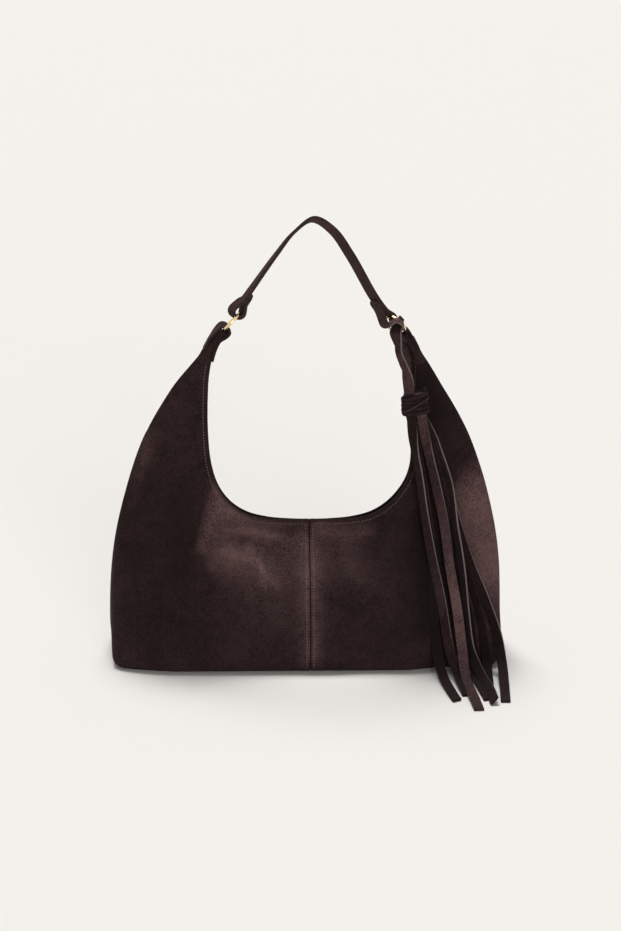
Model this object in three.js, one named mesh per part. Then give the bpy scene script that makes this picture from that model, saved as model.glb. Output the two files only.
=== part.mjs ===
// A soft suede shoulder bag: two-part front and back, a ring-hung strap and a long tassel of strips.
// Millimetres, Z up, the front faces -Y. The origin is the middle of the base's underside.
import * as THREE from "three";

// Overall sizes
const bodyWidth = 407;
const baseDepth = 110;
const hornHeight = 340;
const rimHeight = 148.5;
const mouthWidth = 207;
const strapTop = 464.5;

// Leather and lining
const suede = 1.8;
const baseThickness = 3;
const liningThickness = 0.8;
const liningInset = 1;
const seamGap = 0.3;

// Rings and what loops through them
const ringWire = 3;
const ringOuter = 26;
const ringPull = THREE.MathUtils.degToRad(47);
const leftRingRoll = THREE.MathUtils.degToRad(8);
const rightRingRoll = THREE.MathUtils.degToRad(39);
const leftRingAboveHorn = 5.9;
const rightRingAboveHorn = 1.5;
const seatGap = 0.45;

const tabWidth = 13;
const tabThickness = 2.4;
const tabEyeRadius = 5.2;
const tabOuterLimb = 12;
const tabInnerLimb = 24;

const strapWidth = 14;
const strapThickness = 3.4;
const strapEyeRadius = 4.2;
const strapFoldBack = 24;

// Tassel
const stripWidth = 10;
const stripThickness = 1.6;
const stripGap = 0.35;
const hangerWidth = 8;
const wrapHeight = 25;
const wrapWall = 2.9;
const wrapTurns = 5;
const wrapClearance = 0.8;

// Drawn curves: the side seam, the fullness of the body, its corner roundness and the mouth's rim
const sideSeam = [
  [0, 0.983],
  [0.118, 1],
  [0.324, 0.982],
  [0.506, 0.922],
  [0.688, 0.823],
  [0.847, 0.678],
  [1, 0.497],
];
const fullness = [
  [0, 1],
  [0.118, 0.97],
  [0.235, 0.78],
  [0.353, 0.52],
  [0.441, 0.33],
  [0.588, 0.28],
  [0.735, 0.235],
  [0.882, 0.155],
  [1, 0.09],
];
const squareness = [
  [0, 7],
  [0.176, 4.2],
  [0.441, 2.7],
  [1, 2.2],
];
const rimAcross = [0, 0.22, 0.42, 0.62, 0.78, 0.9, 0.97, 1, 0.997, 0.965, 0.885];
const rimRise = [0, 0.001, 0.006, 0.03, 0.085, 0.175, 0.3, 0.48, 0.7, 0.9, 1];
const pinchAcross = 60;
const pinchShare = 0.62;

const seamRows = 6;
const rimRows = 17;
const columns = 10;

const suedeColour = new THREE.MeshStandardMaterial({ color: 0x3a2b2b, roughness: 0.95 });
const liningColour = new THREE.MeshStandardMaterial({ color: 0x5a4a42, roughness: 0.9 });
const goldColour = new THREE.MeshStandardMaterial({ color: 0xd9b97c, metalness: 1, roughness: 0.25 });

const bag = new THREE.Group();
const vec = (x, y, z) => new THREE.Vector3(x, y, z);

function add(name, geometry, material) {
  const mesh = new THREE.Mesh(geometry, material);
  mesh.name = name;
  bag.add(mesh);
}

// A smooth curve through [position, value] pairs, read at any position
function drawn(pairs, at) {
  let i = 0;
  while (i < pairs.length - 2 && at > pairs[i + 1][0]) i += 1;
  const before = pairs[Math.max(i - 1, 0)];
  const [p, q] = [pairs[i], pairs[i + 1]];
  const after = pairs[Math.min(i + 2, pairs.length - 1)];
  const step = q[0] - p[0];
  const t = THREE.MathUtils.clamp((at - p[0]) / step, 0, 1);
  const leave = ((q[1] - before[1]) / (q[0] - before[0])) * step;
  const arrive = ((after[1] - p[1]) / (after[0] - p[0])) * step;
  const [t2, t3] = [t * t, t * t * t];
  return (
    p[1] * (2 * t3 - 3 * t2 + 1) + leave * (t3 - 2 * t2 + t) + q[1] * (3 * t2 - 2 * t3) + arrive * (t3 - t2)
  );
}

const halfWidth = (z) => (bodyWidth / 2) * drawn(sideSeam, z / hornHeight);
const halfDepth = (z) => (baseDepth / 2) * drawn(fullness, z / hornHeight);
const cornerPower = (z) => drawn(squareness, z / hornHeight);

// The mouth's rim from the centre seam (t = 0) up to the horn's tip (t = 1), as across and height
const rimCurve = new THREE.CatmullRomCurve3(
  rimAcross.map((a, i) => vec((a * mouthWidth) / 2, 0, rimHeight + rimRise[i] * (hornHeight - rimHeight))),
  false,
  "centripetal",
);
rimCurve.arcLengthDivisions = 400;

// A point of the body's outside: turn 0 is the centre seam and 90 degrees the side seam
function bodyPoint(turn, z) {
  const power = cornerPower(z);
  const [s, c] = [Math.sin(turn), Math.cos(turn)];
  const reach = (Math.abs(s) ** power + Math.abs(c) ** power) ** (1 / power);
  const x = (halfWidth(z) * s) / reach;
  const near = Math.exp(-((x / pinchAcross) ** 2));
  const high = THREE.MathUtils.smoothstep(z, 0.55 * rimHeight, rimHeight);
  return vec(x, ((-halfDepth(z) * c) / reach) * (1 - pinchShare * near * high), z);
}

// The same point, sunk into the leather by a depth along the surface's inward normal
function sunkPoint(turn, z, depth) {
  const point = bodyPoint(turn, z);
  if (depth === 0) return point;
  const [dt, dz] = [0.002, 0.2];
  const round = bodyPoint(turn + dt, z).sub(bodyPoint(turn - dt, z));
  const up = bodyPoint(turn, z + dz).sub(bodyPoint(turn, Math.max(z - dz, 0)));
  const out = round.cross(up).normalize();
  return point.addScaledVector(out, -depth);
}

// The turn at which the body's section at a height reaches a given distance across
function turnAt(x, z) {
  const share = Math.min(x / halfWidth(z), 1);
  const power = cornerPower(z);
  return Math.atan2(share, (1 - share ** power) ** (1 / power));
}

// The pattern grid of a quarter of the body: rows run from the centre seam or the rim out to the side seam
const rimMeetsSide = 0.25 * hornHeight;
const patternRows = [];
for (let k = 0; k < seamRows; k += 1) {
  const share = k / seamRows;
  patternRows.push({ turn: 0, from: share * rimHeight, to: share * rimMeetsSide });
}
for (let k = 0; k <= rimRows; k += 1) {
  const t = k / rimRows;
  const rim = rimCurve.getPointAt(t);
  const to = rimMeetsSide + (hornHeight - rimMeetsSide) * t;
  patternRows.push({ turn: turnAt(rim.x, rim.z), from: rim.z, to });
}
function patternSpot(k, j) {
  const row = patternRows[k];
  const s = j / columns;
  const turn = THREE.MathUtils.lerp(row.turn, Math.PI / 2, s);
  return { turn, z: THREE.MathUtils.lerp(row.from, row.to, s) };
}

// A closed geometry from triangles and quads of points
function solidFrom(faces) {
  const corners = [];
  for (const face of faces) {
    for (let i = 1; i + 1 < face.length; i += 1) {
      const [a, b, c] = [face[0], face[i], face[i + 1]];
      const area = vec(0, 0, 0).crossVectors(b.clone().sub(a), c.clone().sub(a)).length();
      if (area > 1e-7) corners.push(a, b, c);
    }
  }
  let volume = 0;
  for (let i = 0; i < corners.length; i += 3) {
    volume += corners[i].dot(vec(0, 0, 0).crossVectors(corners[i + 1], corners[i + 2]));
  }
  if (volume < 0) corners.reverse();
  return new THREE.BufferGeometry().setFromPoints(corners);
}

// The same face turned over, still starting at its first corner so that both sides split alike
const turnedOver = (face) => [face[0], ...face.slice(1).reverse()];

// A sheet with thickness: each face lists its corners as { outer, inner }, and free edges are closed
function sheetSolid(sheetFaces) {
  const key = (corner) => corner.outer.toArray().map((v) => Math.round(v * 1000)).join(" ");
  const edges = new Map();
  const faces = [];
  for (const face of sheetFaces) {
    faces.push(face.map((corner) => corner.outer));
    faces.push(turnedOver(face.map((corner) => corner.inner)));
    face.forEach((corner, i) => {
      const next = face[(i + 1) % face.length];
      const [a, b] = [key(corner), key(next)];
      if (a === b) return;
      if (!edges.delete(b + "|" + a)) edges.set(a + "|" + b, [corner, next]);
    });
  }
  for (const [a, b] of edges.values()) faces.push([b.outer, a.outer, a.inner, b.inner]);
  return solidFrom(faces);
}

// The faces of one pattern quarter, each corner made by spot() and flipped to its side of the bag
function quarterFaces(acrossSign, depthSign, keeps, corner) {
  const faces = [];
  for (let k = 0; k + 1 < patternRows.length; k += 1) {
    for (let j = 0; j < columns; j += 1) {
      if (!keeps(k, j)) continue;
      const ring = [
        [k, j],
        [k, j + 1],
        [k + 1, j + 1],
        [k + 1, j],
      ].map(([a, b]) => corner(a, b));
      const flipped = ring.map(({ outer, inner }) => ({
        outer: vec(outer.x * acrossSign, outer.y * depthSign, outer.z),
        inner: vec(inner.x * acrossSign, inner.y * depthSign, inner.z),
      }));
      faces.push(acrossSign * depthSign > 0 ? flipped : turnedOver(flipped));
    }
  }
  return faces;
}

// Outer panels: butted at the centre and side seams with half a seam gap each
function panelCorner(k, j) {
  const { turn, z } = patternSpot(k, j);
  const seamed = (point) => {
    point.x = Math.max(point.x, seamGap / 2);
    point.y = Math.min(point.y, -seamGap / 2);
    if (k === 0) point.z = 0;
    return point;
  };
  return { outer: seamed(sunkPoint(turn, z, 0)), inner: seamed(sunkPoint(turn, z, suede)) };
}
for (const [face, depthSign] of Object.entries({ front: 1, back: -1 })) {
  for (const [side, acrossSign] of Object.entries({ left: -1, right: 1 })) {
    const geometry = sheetSolid(quarterFaces(acrossSign, depthSign, () => true, panelCorner));
    add(`${face}_panel_${side}`, geometry, suedeColour);
  }
}

// Base panel: fits inside the lower edges of the four panels, flush with them
const baseInset = suede + seamGap;
const baseQuarter = [];
for (let j = 0; j <= columns; j += 1) {
  const { turn } = patternSpot(0, j);
  const point = sunkPoint(turn, 0, baseInset);
  baseQuarter.push([Math.max(point.x, 0), Math.min(point.y, 0)]);
}
const baseHalf = [
  ...baseQuarter.map(([x, y]) => [-x, y]).reverse(),
  ...baseQuarter.slice(1),
];
const baseOutline = [...baseHalf, ...baseHalf.slice(1, -1).map(([x, y]) => [-x, -y])];
const baseShape = new THREE.Shape(baseOutline.map(([x, y]) => new THREE.Vector2(x, y)));
add(
  "base_panel",
  new THREE.ExtrudeGeometry(baseShape, { depth: baseThickness, bevelEnabled: false }),
  suedeColour,
);

// Lining: one sewn pouch inside the panels, its edge set back from the rim
const liningFloor = baseThickness + seamGap;
const liningOut = suede + seamGap;
const liningTopRow = patternRows.length - 5;
function liningCorner(k, j) {
  const { turn, z } = patternSpot(k, j);
  const at = k === 0 ? liningFloor : z;
  const outer = sunkPoint(turn, at, liningOut);
  const inner = sunkPoint(turn, at, liningOut + liningThickness);
  for (const point of [outer, inner]) {
    point.x = j === 0 && k < seamRows ? 0 : Math.max(point.x, 0);
    point.y = Math.min(point.y, (j - columns) * liningThickness * 0.2);
  }
  if (k === 0) {
    outer.z = liningFloor;
    inner.z = liningFloor + liningThickness;
  }
  return { outer, inner };
}
const inLining = (k, j) => k < liningTopRow && (k < seamRows - 1 || j >= liningInset);
const liningFaces = [];
for (const acrossSign of [-1, 1]) {
  for (const depthSign of [1, -1]) {
    liningFaces.push(...quarterFaces(acrossSign, depthSign, inLining, liningCorner));
  }
  for (let j = 0; j < columns; j += 1) {
    const turned = (a, sign) => {
      const { outer, inner } = liningCorner(0, a);
      const flip = (p) => vec(p.x * acrossSign, p.y * sign, p.z);
      return { outer: flip(outer), inner: flip(inner) };
    };
    const ends = [turned(j, 1), turned(j, -1), turned(j + 1, -1), turned(j + 1, 1)];
    const face = j + 1 === columns ? ends.slice(0, 3) : ends;
    liningFaces.push(acrossSign > 0 ? face : turnedOver(face));
  }
}
add("lining", sheetSolid(liningFaces), liningColour);

// A flat band swept along points, with its own width direction at each of them
function band(points, widthWays, width, thickness, steps, edge = Math.min(thickness / 2, 1)) {
  const path = new THREE.CatmullRomCurve3(points, false, "centripetal");
  path.arcLengthDivisions = 600;
  const ways = new THREE.CatmullRomCurve3(widthWays, false, "centripetal");
  const sections = [];
  for (let i = 0; i <= steps; i += 1) {
    const t = path.getUtoTmapping(i / steps);
    const along = path.getTangent(t);
    const across = ways.getPoint(t);
    across.addScaledVector(along, -across.dot(along)).normalize();
    const face = vec(0, 0, 0).crossVectors(along, across);
    const centre = path.getPoint(t);
    const outline = [
      [-width / 2 + edge, -thickness / 2],
      [width / 2 - edge, -thickness / 2],
      [width / 2, 0],
      [width / 2 - edge, thickness / 2],
      [-width / 2 + edge, thickness / 2],
      [-width / 2, 0],
    ].filter(([, h]) => edge > 0 || h !== 0);
    sections.push(
      outline.map(([w, h]) => centre.clone().addScaledVector(across, w).addScaledVector(face, h)),
    );
  }
  const faces = [sections[0].slice().reverse(), sections[steps]];
  for (let i = 0; i < steps; i += 1) {
    const [a, b] = [sections[i], sections[i + 1]];
    a.forEach((_, n) => {
      const m = (n + 1) % a.length;
      faces.push([a[n], a[m], b[m], b[n]]);
    });
  }
  return solidFrom(faces);
}

// Ring frames: each ring is pulled along its strap leg and rolled a little about that line
const ringRadius = (ringOuter - ringWire) / 2;
// How far the ring's wire curves away from an eye's middle at the edge of a band
const wireBow = (width) => ringRadius - Math.sqrt(ringRadius ** 2 - (width / 2) ** 2);
const hornMiddle = (halfWidth(hornHeight) + rimCurve.getPoint(1).x) / 2;
const hornHalf = halfWidth(hornHeight) - hornMiddle;
function ringFrame(side, roll, aboveHorn) {
  const pull = vec(-side * Math.cos(ringPull), 0, Math.sin(ringPull));
  const flat = vec(side * Math.sin(ringPull), 0, Math.cos(ringPull));
  const wire = vec(0, -Math.cos(roll), 0).addScaledVector(flat, Math.sin(roll));
  const broad = vec(0, Math.sin(roll), 0).addScaledVector(flat, Math.cos(roll));
  const horn = vec(side * hornMiddle, 0, hornHeight);
  const lower = horn.addScaledVector(pull, hornHalf + aboveHorn);
  const centre = lower.clone().addScaledVector(pull, ringRadius);
  const upper = centre.clone().addScaledVector(pull, ringRadius);
  return { side, roll, pull, wire, broad, lower, centre, upper };
}
const rings = {
  left: ringFrame(-1, leftRingRoll, leftRingAboveHorn),
  right: ringFrame(1, rightRingRoll, rightRingAboveHorn),
};

for (const [side, ring] of Object.entries(rings)) {
  const torus = new THREE.TorusGeometry(ringRadius, ringWire / 2, 8, 32);
  const axis = vec(0, 0, 0).crossVectors(ring.pull, ring.wire);
  const place = new THREE.Matrix4().makeBasis(ring.pull, ring.wire, axis).setPosition(ring.centre);
  add(`ring_${side}`, torus.applyMatrix4(place), goldColour);
}

// Ring tabs: folded over the ring's lower side, one limb on the horn's seam edge and one on its rim
for (const [side, ring] of Object.entries(rings)) {
  const middle = tabEyeRadius + tabThickness / 2;
  const slack = tabEyeRadius - ringWire / 2 - wireBow(tabWidth) - seatGap;
  const eye = ring.lower.clone().addScaledVector(ring.pull, -slack);
  const around = (angle) =>
    eye
      .clone()
      .addScaledVector(ring.pull, middle * Math.cos(angle))
      .addScaledVector(ring.broad, middle * Math.sin(angle));
  const clear = tabThickness / 2 + seamGap;
  const onSeam = (drop) => {
    const z = hornHeight - drop;
    return vec(ring.side * (halfWidth(z) + clear * 1.45), 0, z);
  };
  const onRim = (drop) => {
    const t = rimTurnAt(hornHeight - drop);
    return vec(ring.side * (rimCurve.getPoint(t).x - clear * 1.7), 0, hornHeight - drop);
  };
  const points = [
    onSeam(tabOuterLimb),
    onSeam(tabOuterLimb / 2),
    onSeam(0),
    around(Math.PI / 3),
    around(0),
    around(-Math.PI / 3),
    around(-Math.PI / 1.7),
    onRim(tabInnerLimb / 8),
    onRim(tabInnerLimb / 2),
    onRim(tabInnerLimb),
  ];
  const straight = vec(0, -1, 0);
  const inEye = (i) => i > 2 && i < 7;
  const ways = points.map((_, i) => (inEye(i) ? ring.wire : straight));
  add(`ring_tab_${side}`, band(points, ways, tabWidth, tabThickness, 30), suedeColour);
}

// The rim curve's parameter at a height on its upright part
function rimTurnAt(z) {
  let [low, high] = [0.3, 1];
  for (let i = 0; i < 40; i += 1) {
    const mid = (low + high) / 2;
    if (rimCurve.getPoint(mid).z < z) low = mid;
    else high = mid;
  }
  return high;
}

// Strap: one band, folded back under itself round each ring
function strapEnd(ring) {
  const middle = strapEyeRadius + strapThickness / 2;
  const slack = strapEyeRadius - ringWire / 2 - wireBow(strapWidth) - seatGap;
  const eye = ring.upper.clone().addScaledVector(ring.pull, slack);
  const around = (angle) =>
    eye
      .clone()
      .addScaledVector(ring.pull, -middle * Math.cos(angle))
      .addScaledVector(ring.broad, middle * Math.sin(angle));
  const half = (strapThickness + seamGap) / 2;
  const leg = vec(-ring.side * 0.574, 0, 0.819);
  const out = vec(ring.side * 0.819, 0, 0.574).multiplyScalar(Math.cos(ring.roll));
  out.y = Math.sin(ring.roll);
  const along = (far, off) => eye.clone().addScaledVector(leg, far).addScaledVector(out, off);
  return {
    points: [
      along(strapFoldBack, -half),
      along(strapFoldBack * 0.62, -half),
      along(middle * 1.7, -half * 1.5),
      around(-Math.PI / 2.2),
      around(-Math.PI / 4),
      around(0),
      around(Math.PI / 4),
      around(Math.PI / 2.2),
      along(middle * 1.7, half * 1.5),
      along(strapFoldBack * 0.62, half),
      along(strapFoldBack + 4, half),
    ],
    way: ring.wire,
  };
}
const leftEnd = strapEnd(rings.left);
const rightEnd = strapEnd(rings.right);
const strapMiddle = strapTop - strapThickness / 2;
const strapArch = [
  vec(-37, 0, strapMiddle - 36),
  vec(-19, 0, strapMiddle - 13),
  vec(0, 0, strapMiddle),
  vec(19, 0, strapMiddle - 11),
  vec(37, 0, strapMiddle - 36),
];
const upright = vec(0, -1, 0);
const strapPoints = [...leftEnd.points, ...strapArch, ...rightEnd.points.slice().reverse()];
const strapWays = [
  ...leftEnd.points.map(() => leftEnd.way),
  ...strapArch.map((_, i) => upright.clone().lerp(rightEnd.way, i / strapArch.length)),
  ...rightEnd.points.map(() => rightEnd.way),
];
add("strap", band(strapPoints, strapWays, strapWidth, strapThickness, 96), suedeColour);

// Tassel wrap: a thong wound round the bundle, each turn a rounded ridge
const wrapFoot = vec(105.5, -25, 265.5);
const wrapUp = vec(-0.13, 0.06, 1).normalize();
const wrapFront = vec(1, 0, 0).cross(wrapUp).normalize();
const wrapAcross = vec(0, 0, 0).crossVectors(wrapUp, wrapFront);
const slotPitch = stripThickness + stripGap;
const slotAcross = (stripWidth + stripGap) / 2;
const bundleRadius = Math.hypot(slotAcross + stripWidth / 2, slotPitch * 2 + stripThickness / 2);
const wrapInner = bundleRadius + wrapClearance;
const wrapOutline = [];
for (let turn = 0; turn < wrapTurns; turn += 1) {
  const pitch = wrapHeight / wrapTurns;
  wrapOutline.push([wrapInner + wrapWall * 0.72, pitch * (turn + 0.02)]);
  wrapOutline.push([wrapInner + wrapWall, pitch * (turn + 0.25)]);
  wrapOutline.push([wrapInner + wrapWall, pitch * (turn + 0.8)]);
  wrapOutline.push([wrapInner + wrapWall * 0.72, pitch * (turn + 0.97)]);
}
const wrapLoop = [[wrapInner, 0], ...wrapOutline, [wrapInner, wrapHeight], [wrapInner, 0]];
const wrapLathe = new THREE.LatheGeometry(wrapLoop.map(([r, h]) => new THREE.Vector2(r, h)), 18);
const wrapPlace = new THREE.Matrix4().makeBasis(wrapAcross, wrapUp, wrapFront).setPosition(wrapFoot);
add("tassel_wrap", wrapLathe.applyMatrix4(wrapPlace), suedeColour);

// A place inside the wrap: the left or right column, the layer from front to back, and the height
function slot(column, layer, height) {
  return wrapFoot
    .clone()
    .addScaledVector(wrapUp, height)
    .addScaledVector(wrapAcross, column * slotAcross)
    .addScaledVector(wrapFront, -layer * slotPitch);
}

// Tassel hanger: one strip folded over the right ring's front wire, both its legs held in the wrap
const hitch = rings.right.centre.clone().addScaledVector(rings.right.wire, ringRadius);
const nearHitch = (x, y, z) => hitch.clone().add(vec(x, y, z));
const hangerPoints = [
  slot(-1, -1, 3),
  slot(-1, -1, wrapHeight - 2),
  vec(92.5, -19.4, 318),
  nearHitch(0, -6.8, -16),
  nearHitch(-1.9, -3.8, -3.4),
  nearHitch(0.3, -3.2, 0.5),
  nearHitch(2.4, 0, 2.3),
  nearHitch(0, 4.2, 0),
  nearHitch(-3.9, 1.3, -5.6),
  nearHitch(-0.8, -4.8, -16.5),
  vec(92.5, -17.2, 318),
  slot(-1, 0, wrapHeight - 2),
  slot(-1, 0, 3),
];
const acrossNeck = vec(-1, 0, 0);
const hangerTurn = [0, 0, 0, 0.2, 0.7, 1, 1, 1, 0.9, 0.2, 0, 0, 0];
const hangerWays = hangerTurn.map((share) => acrossNeck.clone().lerp(rings.right.pull, share));
add("tassel_hanger", band(hangerPoints, hangerWays, hangerWidth, stripThickness, 48, 0), suedeColour);

// Fringe strips: the route of each below the wrap, its place in the wrap and how far it turns edge-on
const fringe = [
  {
    place: [-1, -2],
    route: [
      [104, -27.5, 238],
      [112, -26.5, 200],
      [118.5, -26.5, 160],
      [126, -37.5, 117],
      [134.5, -53.5, 73],
      [142.5, -64, 28],
      [149.5, -81.5, 8],
      [153, -109, 3.5],
      [155, -126, 1.5],
    ],
  },
  {
    place: [-1, 1],
    route: [
      [106.5, -22, 236.5],
      [114.5, -20.5, 193],
      [121.5, -21.5, 150],
      [126, -33.5, 108.5],
      [126.5, -49.5, 66],
      [129.5, -59.5, 26.5],
      [134, -83.5, 7],
      [139.5, -118.5, 3],
      [143.5, -139, 1.5],
    ],
  },
  {
    place: [1, -2],
    route: [
      [116, -28.5, 238.5],
      [127, -27, 195],
      [137, -27, 151.5],
      [143, -38.5, 109.5],
      [150, -55.5, 69],
      [155.5, -66, 28],
      [157, -95, 8],
      [161, -138, 3.5],
      [163, -162, 1.5],
    ],
  },
  {
    place: [1, 0],
    route: [
      [119.5, -24.5, 237],
      [133.5, -22.5, 193.5],
      [145.5, -23.5, 149],
      [154.5, -39.5, 105],
      [157.5, -49, 61],
      [161.5, -58.5, 25.5],
      [167, -77.5, 8],
      [172, -110, 4],
      [175.5, -136.5, 1.5],
    ],
  },
  {
    place: [1, -1],
    route: [
      [125, -26.5, 237.5],
      [140.5, -25.5, 194],
      [148.5, -30, 150],
      [155, -44, 108.5],
      [159, -56, 67.5],
      [165.5, -65.5, 23.5],
      [172.5, -93.5, 9],
      [178.5, -127.5, 5],
      [180, -148.5, 2],
    ],
    edgeOn: [0, 0, 0, 0, 0, 30, 35, 35, 30, 5, 0, 0],
  },
  {
    place: [1, 2],
    route: [
      [124.5, -20.5, 236],
      [139.5, -18, 192],
      [151, -17.5, 148],
      [161.5, -33.4, 103.5],
      [175, -49, 57.5],
      [181.5, -58.8, 18.5],
      [181, -81.5, 6],
      [179.5, -105.5, 2],
    ],
  },
  {
    place: [1, 1],
    route: [
      [124.5, -22.5, 236.5],
      [139, -20, 192.5],
      [150.5, -20, 149],
      [164.5, -36, 109],
      [180.5, -48, 73],
      [192.5, -54, 40],
      [196.5, -72.5, 14],
      [195, -106, 5],
      [192, -142.5, 1.5],
    ],
  },
  {
    place: [-1, 2],
    route: [
      [109, -20, 236],
      [122, -17.5, 192],
      [137, -17.5, 148],
      [150.5, -31.2, 103.5],
      [163, -45.5, 61],
      [168, -53.8, 23.5],
      [171, -62, 9],
      [173, -79, 4],
    ],
  },
];
fringe.forEach(({ place, route, edgeOn }, i) => {
  const held = [wrapHeight - 2, wrapHeight / 2, 0].map((height) => slot(...place, height));
  const points = [...held, ...route.map((spot) => vec(...spot))];
  const ways = points.map((_, n) => {
    const angle = THREE.MathUtils.degToRad(edgeOn ? edgeOn[n] : 0);
    return vec(Math.cos(angle), -Math.sin(angle), 0);
  });
  add(`fringe_strip_${i + 1}`, band(points, ways, stripWidth, stripThickness, 26, 0), suedeColour);
});

export default bag;
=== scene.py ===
# %% [markdown]
# # A fringed suede shoulder bag
#
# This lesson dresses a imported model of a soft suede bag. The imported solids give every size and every
# joint. Blender makes what the eye sees: the napped leather, its folds and seams, the rings and the long
# tassel. All shapes are worked out in millimetres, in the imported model's own frame: +Z up, the front
# faces -Y.

import math
import random

import bpy
import numpy as np
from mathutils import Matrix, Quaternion, Vector


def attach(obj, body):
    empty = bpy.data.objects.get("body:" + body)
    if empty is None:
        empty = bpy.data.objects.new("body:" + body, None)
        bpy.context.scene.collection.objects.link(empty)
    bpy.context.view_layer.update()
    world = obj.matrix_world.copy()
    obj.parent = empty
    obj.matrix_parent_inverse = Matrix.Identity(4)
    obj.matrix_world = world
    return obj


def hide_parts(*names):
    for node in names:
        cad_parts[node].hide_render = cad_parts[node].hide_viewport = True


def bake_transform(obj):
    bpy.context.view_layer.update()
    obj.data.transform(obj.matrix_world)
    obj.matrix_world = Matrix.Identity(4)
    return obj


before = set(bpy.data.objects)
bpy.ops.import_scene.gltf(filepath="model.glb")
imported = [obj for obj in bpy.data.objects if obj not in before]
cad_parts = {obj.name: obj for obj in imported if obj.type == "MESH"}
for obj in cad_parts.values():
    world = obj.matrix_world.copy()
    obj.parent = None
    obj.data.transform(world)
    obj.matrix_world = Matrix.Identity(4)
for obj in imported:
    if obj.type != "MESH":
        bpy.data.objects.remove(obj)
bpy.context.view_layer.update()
scene = bpy.context.scene
MM = 0.001

# %% [markdown]
# ## The camera
#
# The bag is seen from a little above and a touch from its left, through a long lens. A long lens far away
# keeps the bag's upright lines parallel, as a studio picture does. The lens follows from the width of the
# picture in millimetres at the bag's own distance.

# %% Camera
PHOTO_WIDTH = 621
MM_PER_PIXEL = 1.028
LOOK_AT = Vector((0.0005, 0, 0.204))
AZIMUTH = math.radians(-3)
ELEVATION = math.radians(18)
ROLL = math.radians(0.8)
DISTANCE = 2.4

camera_data = bpy.data.cameras.new("camera")
camera_data.sensor_fit = "HORIZONTAL"
camera_data.sensor_width = 36
camera_data.lens = 36 * DISTANCE / (PHOTO_WIDTH * MM_PER_PIXEL * MM)
camera = bpy.data.objects.new("camera", camera_data)
scene.collection.objects.link(camera)
level = math.cos(ELEVATION)
towards = Vector((math.sin(AZIMUTH) * level, -math.cos(AZIMUTH) * level, math.sin(ELEVATION)))
camera.location = LOOK_AT + DISTANCE * towards
turn = (-towards).to_track_quat("-Z", "Y") @ Quaternion((0, 0, 1), ROLL)
camera.rotation_euler = turn.to_euler()
scene.camera = camera
print("lens", round(camera_data.lens, 1), "mm")

# %% [markdown]
# ## Small helpers
#
# Leather goods are cut flat and then bent, so most pieces here are either a sheet or a band swept along a
# line. A smooth curve through a few chosen points gives the line. One function puts vertices and faces in
# a mesh.

# %% Curves
def vec(*values):
    return np.array(values, dtype=float)


def unit(v):
    v = np.asarray(v, dtype=float)
    return v / np.linalg.norm(v, axis=-1, keepdims=True)


def distance_along(line):
    """How far each point of a line lies from its start, measured along it."""
    return np.append(0, np.cumsum(np.linalg.norm(np.diff(line, axis=0), axis=1)))


def read_at(at, known, values):
    """Rows of values that are known at some places, read at others in between."""
    values = np.asarray(values)
    return np.stack([np.interp(at, known, values[:, n]) for n in range(values.shape[1])], axis=1)


def smooth_path(points, count):
    """Evenly spaced points on a smooth curve through the given ones, and each one's place in the list."""
    p = np.array(points, dtype=float)
    p = np.vstack([2 * p[0] - p[1], p, 2 * p[-1] - p[-2]])
    line, place = [], []
    for i in range(1, len(p) - 2):
        a, b, c, d = p[i - 1 : i + 3]
        ta, tb, tc = (max(np.linalg.norm(v), 1e-6) ** 0.5 for v in (b - a, c - b, d - c))
        leave = ((b - a) / ta - (c - a) / (ta + tb) + (c - b) / tb) * tb
        arrive = ((c - b) / tb - (d - b) / (tb + tc) + (d - c) / tc) * tb
        t = np.linspace(0, 1, 25)[:-1, None]
        h = (2 * t**3 - 3 * t**2 + 1, t**3 - 2 * t**2 + t, 3 * t**2 - 2 * t**3, t**3 - t**2)
        line.append(h[0] * b + h[1] * leave + h[2] * c + h[3] * arrive)
        place.append(i - 1 + t[:, 0])
    line = np.vstack([*line, p[-2]])
    place = np.append(np.concatenate(place), len(points) - 1)
    far = distance_along(line)
    even = np.linspace(0, far[-1], count)
    return read_at(even, far, line), np.interp(even, far, place)


print("middle of a curve:", smooth_path([(0, 0, 0), (1, 1, 0), (2, 0, 0)], 3)[0][1])

# %% Meshes
def make_mesh(name, spots, faces, materials, which=None, sharp=40, nap_and_shading=None):
    """A mesh object from points in millimetres. Each face takes the material whose number is in which."""
    mesh = bpy.data.meshes.new(name)
    mesh.from_pydata((np.asarray(spots) * MM).tolist(), [], faces)
    for material in materials:
        mesh.materials.append(material)
    if which is not None:
        mesh.polygons.foreach_set("material_index", which)
    if nap_and_shading is not None:
        values = mesh.attributes.new("nap_and_shading", "FLOAT", "POINT").data
        values.foreach_set("value", np.asarray(nap_and_shading, dtype=np.float32))
    mesh.shade_smooth()
    mesh.set_sharp_from_angle(angle=math.radians(sharp))
    mesh.update()
    piece = bpy.data.objects.new(name, mesh)
    scene.collection.objects.link(piece)
    return piece


def settle(piece, body, slot, *nodes):
    """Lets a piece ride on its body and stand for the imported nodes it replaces."""
    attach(piece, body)
    if nodes:
        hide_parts(*nodes)
    print(piece.name, len(piece.data.polygons), "faces")


# %% [markdown]
# A band has a flat section with softened corners. Where it twists, its width turns with it. The faces on
# the two narrow sides can take another material, because a cut edge of suede shows its pale inner fibres.

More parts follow.
